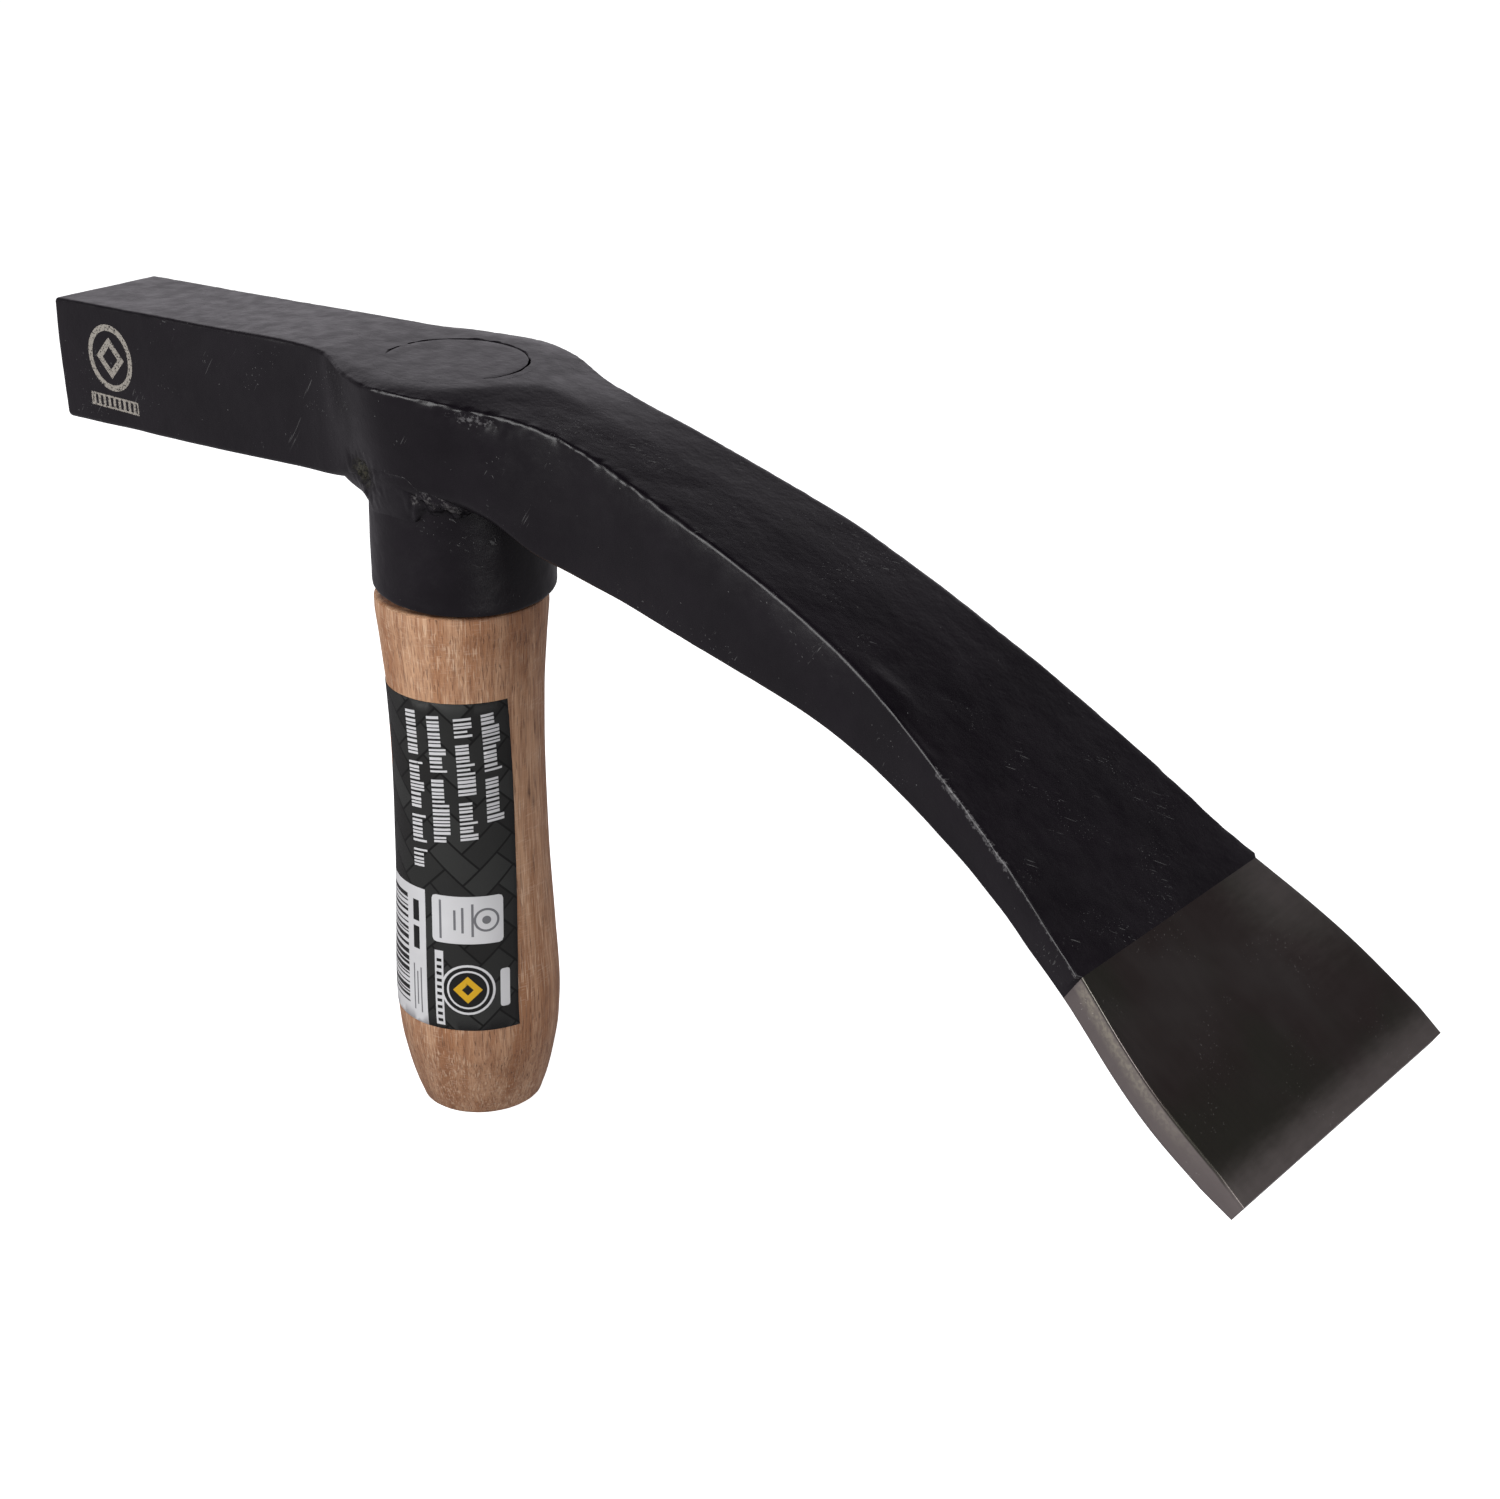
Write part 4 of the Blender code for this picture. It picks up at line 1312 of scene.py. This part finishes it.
head_mesh, top_of_head, side_of_head = build_head()
finish_piece("head_forging", head_mesh, [paint, ground_steel()], "head_paint", "head")
finish_piece("eye_disc", build_disc(top_of_head), [paint], "head_paint", "eye_plug")
finish_piece("eye_disc_weld", build_disc_weld(top_of_head), [paint], "head_paint",
             "eye_plug_weld")
finish_piece("socket_sleeve", build_socket(), [paint], "head_paint", "socket_tube")
finish_piece("socket_weld_bead", build_socket_weld(side_of_head), [bead_paint], "head_paint",
             "socket_weld")
finish_piece("wooden_handle", build_handle(), [turned_wood()], "handle_wood", "handle")
inks = [printed_ink("ink_" + name, *look) for name, look in INKS.items()]
sticker = finish_piece("paper_label", build_label(), inks, "label_paper", "label")
paper = sticker.modifiers.new("paper", 'SOLIDIFY')
paper.thickness = PAPER_THICKNESS * MM
paper.offset = 1.0

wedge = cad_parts["tenon_wedge"]
wedge.data.materials.clear()
wedge.data.materials.append(sawn_wood())

# ---------------------------------------------------------------- camera, floor and light

CAMERA_PLACE = (338.62, -329.70, 281.057)
CAMERA_TURN = 38.892           # degrees about Z
CAMERA_PITCH = 23.439          # degrees below level
CAMERA_ROLL = 0.218
SENSOR_WIDTH = 36.0
FOCAL_LENGTH = 61.03

WALL_TOP = (0.20, 0.85)         # the wall's glow fades out between these, of 1 straight up
WALL_TINT = (1.0, 0.955, 1.02)
WALL_GLOW = 0.80
OVERHEAD_GLOW = 0.03
FRONT_SHARE = 0.12             # glow in front of the hammer, against behind it
TABLE_GLOW = 0.32              # light from below, at the left
TABLE_DIM = 0.30               # and at the right
BEHIND = (-0.63, 0.78)         # directions across the floor, seen from the camera
LEFT = (-0.80, -0.60)
LIGHT_AIM = (0.03, 0.0, 0.1)   # the head, in metres
FLOOR_GLOW = 0.93
FLOOR_HALF_SIZE = 6.0          # metres

camera_data = bpy.data.cameras.new("camera")
camera_data.sensor_width = SENSOR_WIDTH
camera_data.lens = FOCAL_LENGTH
camera_data.clip_start = 0.01
camera = bpy.data.objects.new("camera", camera_data)
bpy.context.scene.collection.objects.link(camera)
camera.matrix_world = (
    Matrix.Translation(Vector(CAMERA_PLACE) * MM)
    @ Matrix.Rotation(math.radians(CAMERA_TURN), 4, 'Z')
    @ Matrix.Rotation(math.radians(90.0 - CAMERA_PITCH), 4, 'X')
    @ Matrix.Rotation(math.radians(CAMERA_ROLL), 4, 'Z'))
bpy.context.scene.camera = camera
bpy.context.scene.view_settings.view_transform = 'Standard'


def floor_material():
    """Pale matt floor with a glow of its own, so that shadows on it stay faint."""
    shader = Shader("pale_floor")
    cloud = shader.noise(shader.place, 3.0, 2.0)
    shader.set(base_color=shader.mix(cloud, (0.80, 0.80, 0.80), (0.82, 0.82, 0.82)),
               roughness=0.9, emission_color=(1.0, 1.0, 1.0))
    shader.constant("Emission Strength", FLOOR_GLOW)
    shader.constant("Specular IOR Level", 0.1)
    return shader.material


floor_shape = bmesh.new()
bmesh.ops.create_grid(floor_shape, x_segments=8, y_segments=8, size=FLOOR_HALF_SIZE)
floor_mesh = bpy.data.meshes.new("floor")
floor_shape.to_mesh(floor_mesh)
floor_shape.free()
floor_mesh.materials.append(floor_material())
floor = bpy.data.objects.new("floor", floor_mesh)
bpy.context.scene.collection.objects.link(floor)
floor.visible_diffuse = False
floor.visible_glossy = False


def studio_world():
    """Soft light all round, bright behind and dim overhead, before a backdrop that is plain white."""
    world = bpy.data.worlds.new("studio")
    bpy.context.scene.world = world
    sky = Graph(world, "Generated")
    x, y, z = sky.axes()
    behind = sky.plus(sky.times(x, BEHIND[0]), sky.times(y, BEHIND[1]))
    left = sky.plus(sky.times(x, LEFT[0]), sky.times(y, LEFT[1]))
    wall = sky.spread(z, *WALL_TOP, WALL_GLOW, OVERHEAD_GLOW)
    wall = sky.times(wall, sky.spread(behind, 0.45, 0.92, FRONT_SHARE, 1.0))
    table = sky.spread(left, -0.4, 0.9, TABLE_DIM, TABLE_GLOW)
    glow = sky.mix(sky.spread(z, -0.06, 0.0), sky.grey(table), sky.grey(wall))
    glow = sky.mix(1.0, glow, WALL_TINT, 'MULTIPLY')
    seen = sky.nodes.new("ShaderNodeLightPath").outputs["Is Camera Ray"]
    sky.put(sky.nodes["Background"].inputs["Color"], sky.mix(seen, glow, (1.0, 1.0, 1.0)))


def soft_box(name, place, size, energy):
    """A square area light that faces the hammer's head; its place and size are in metres."""
    light = bpy.data.lights.new(name, 'AREA')
    light.size = size
    light.energy = energy
    lamp = bpy.data.objects.new(name, light)
    lamp.location = place
    aim = Vector(LIGHT_AIM) - lamp.location
    lamp.rotation_euler = aim.to_track_quat('-Z', 'Y').to_euler()
    bpy.context.scene.collection.objects.link(lamp)


studio_world()
soft_box("key_light", (-0.30, -1.05, 0.70), 0.8, 18.0)
soft_box("fill_light", (1.0, -0.15, 0.45), 1.0, 10.0)
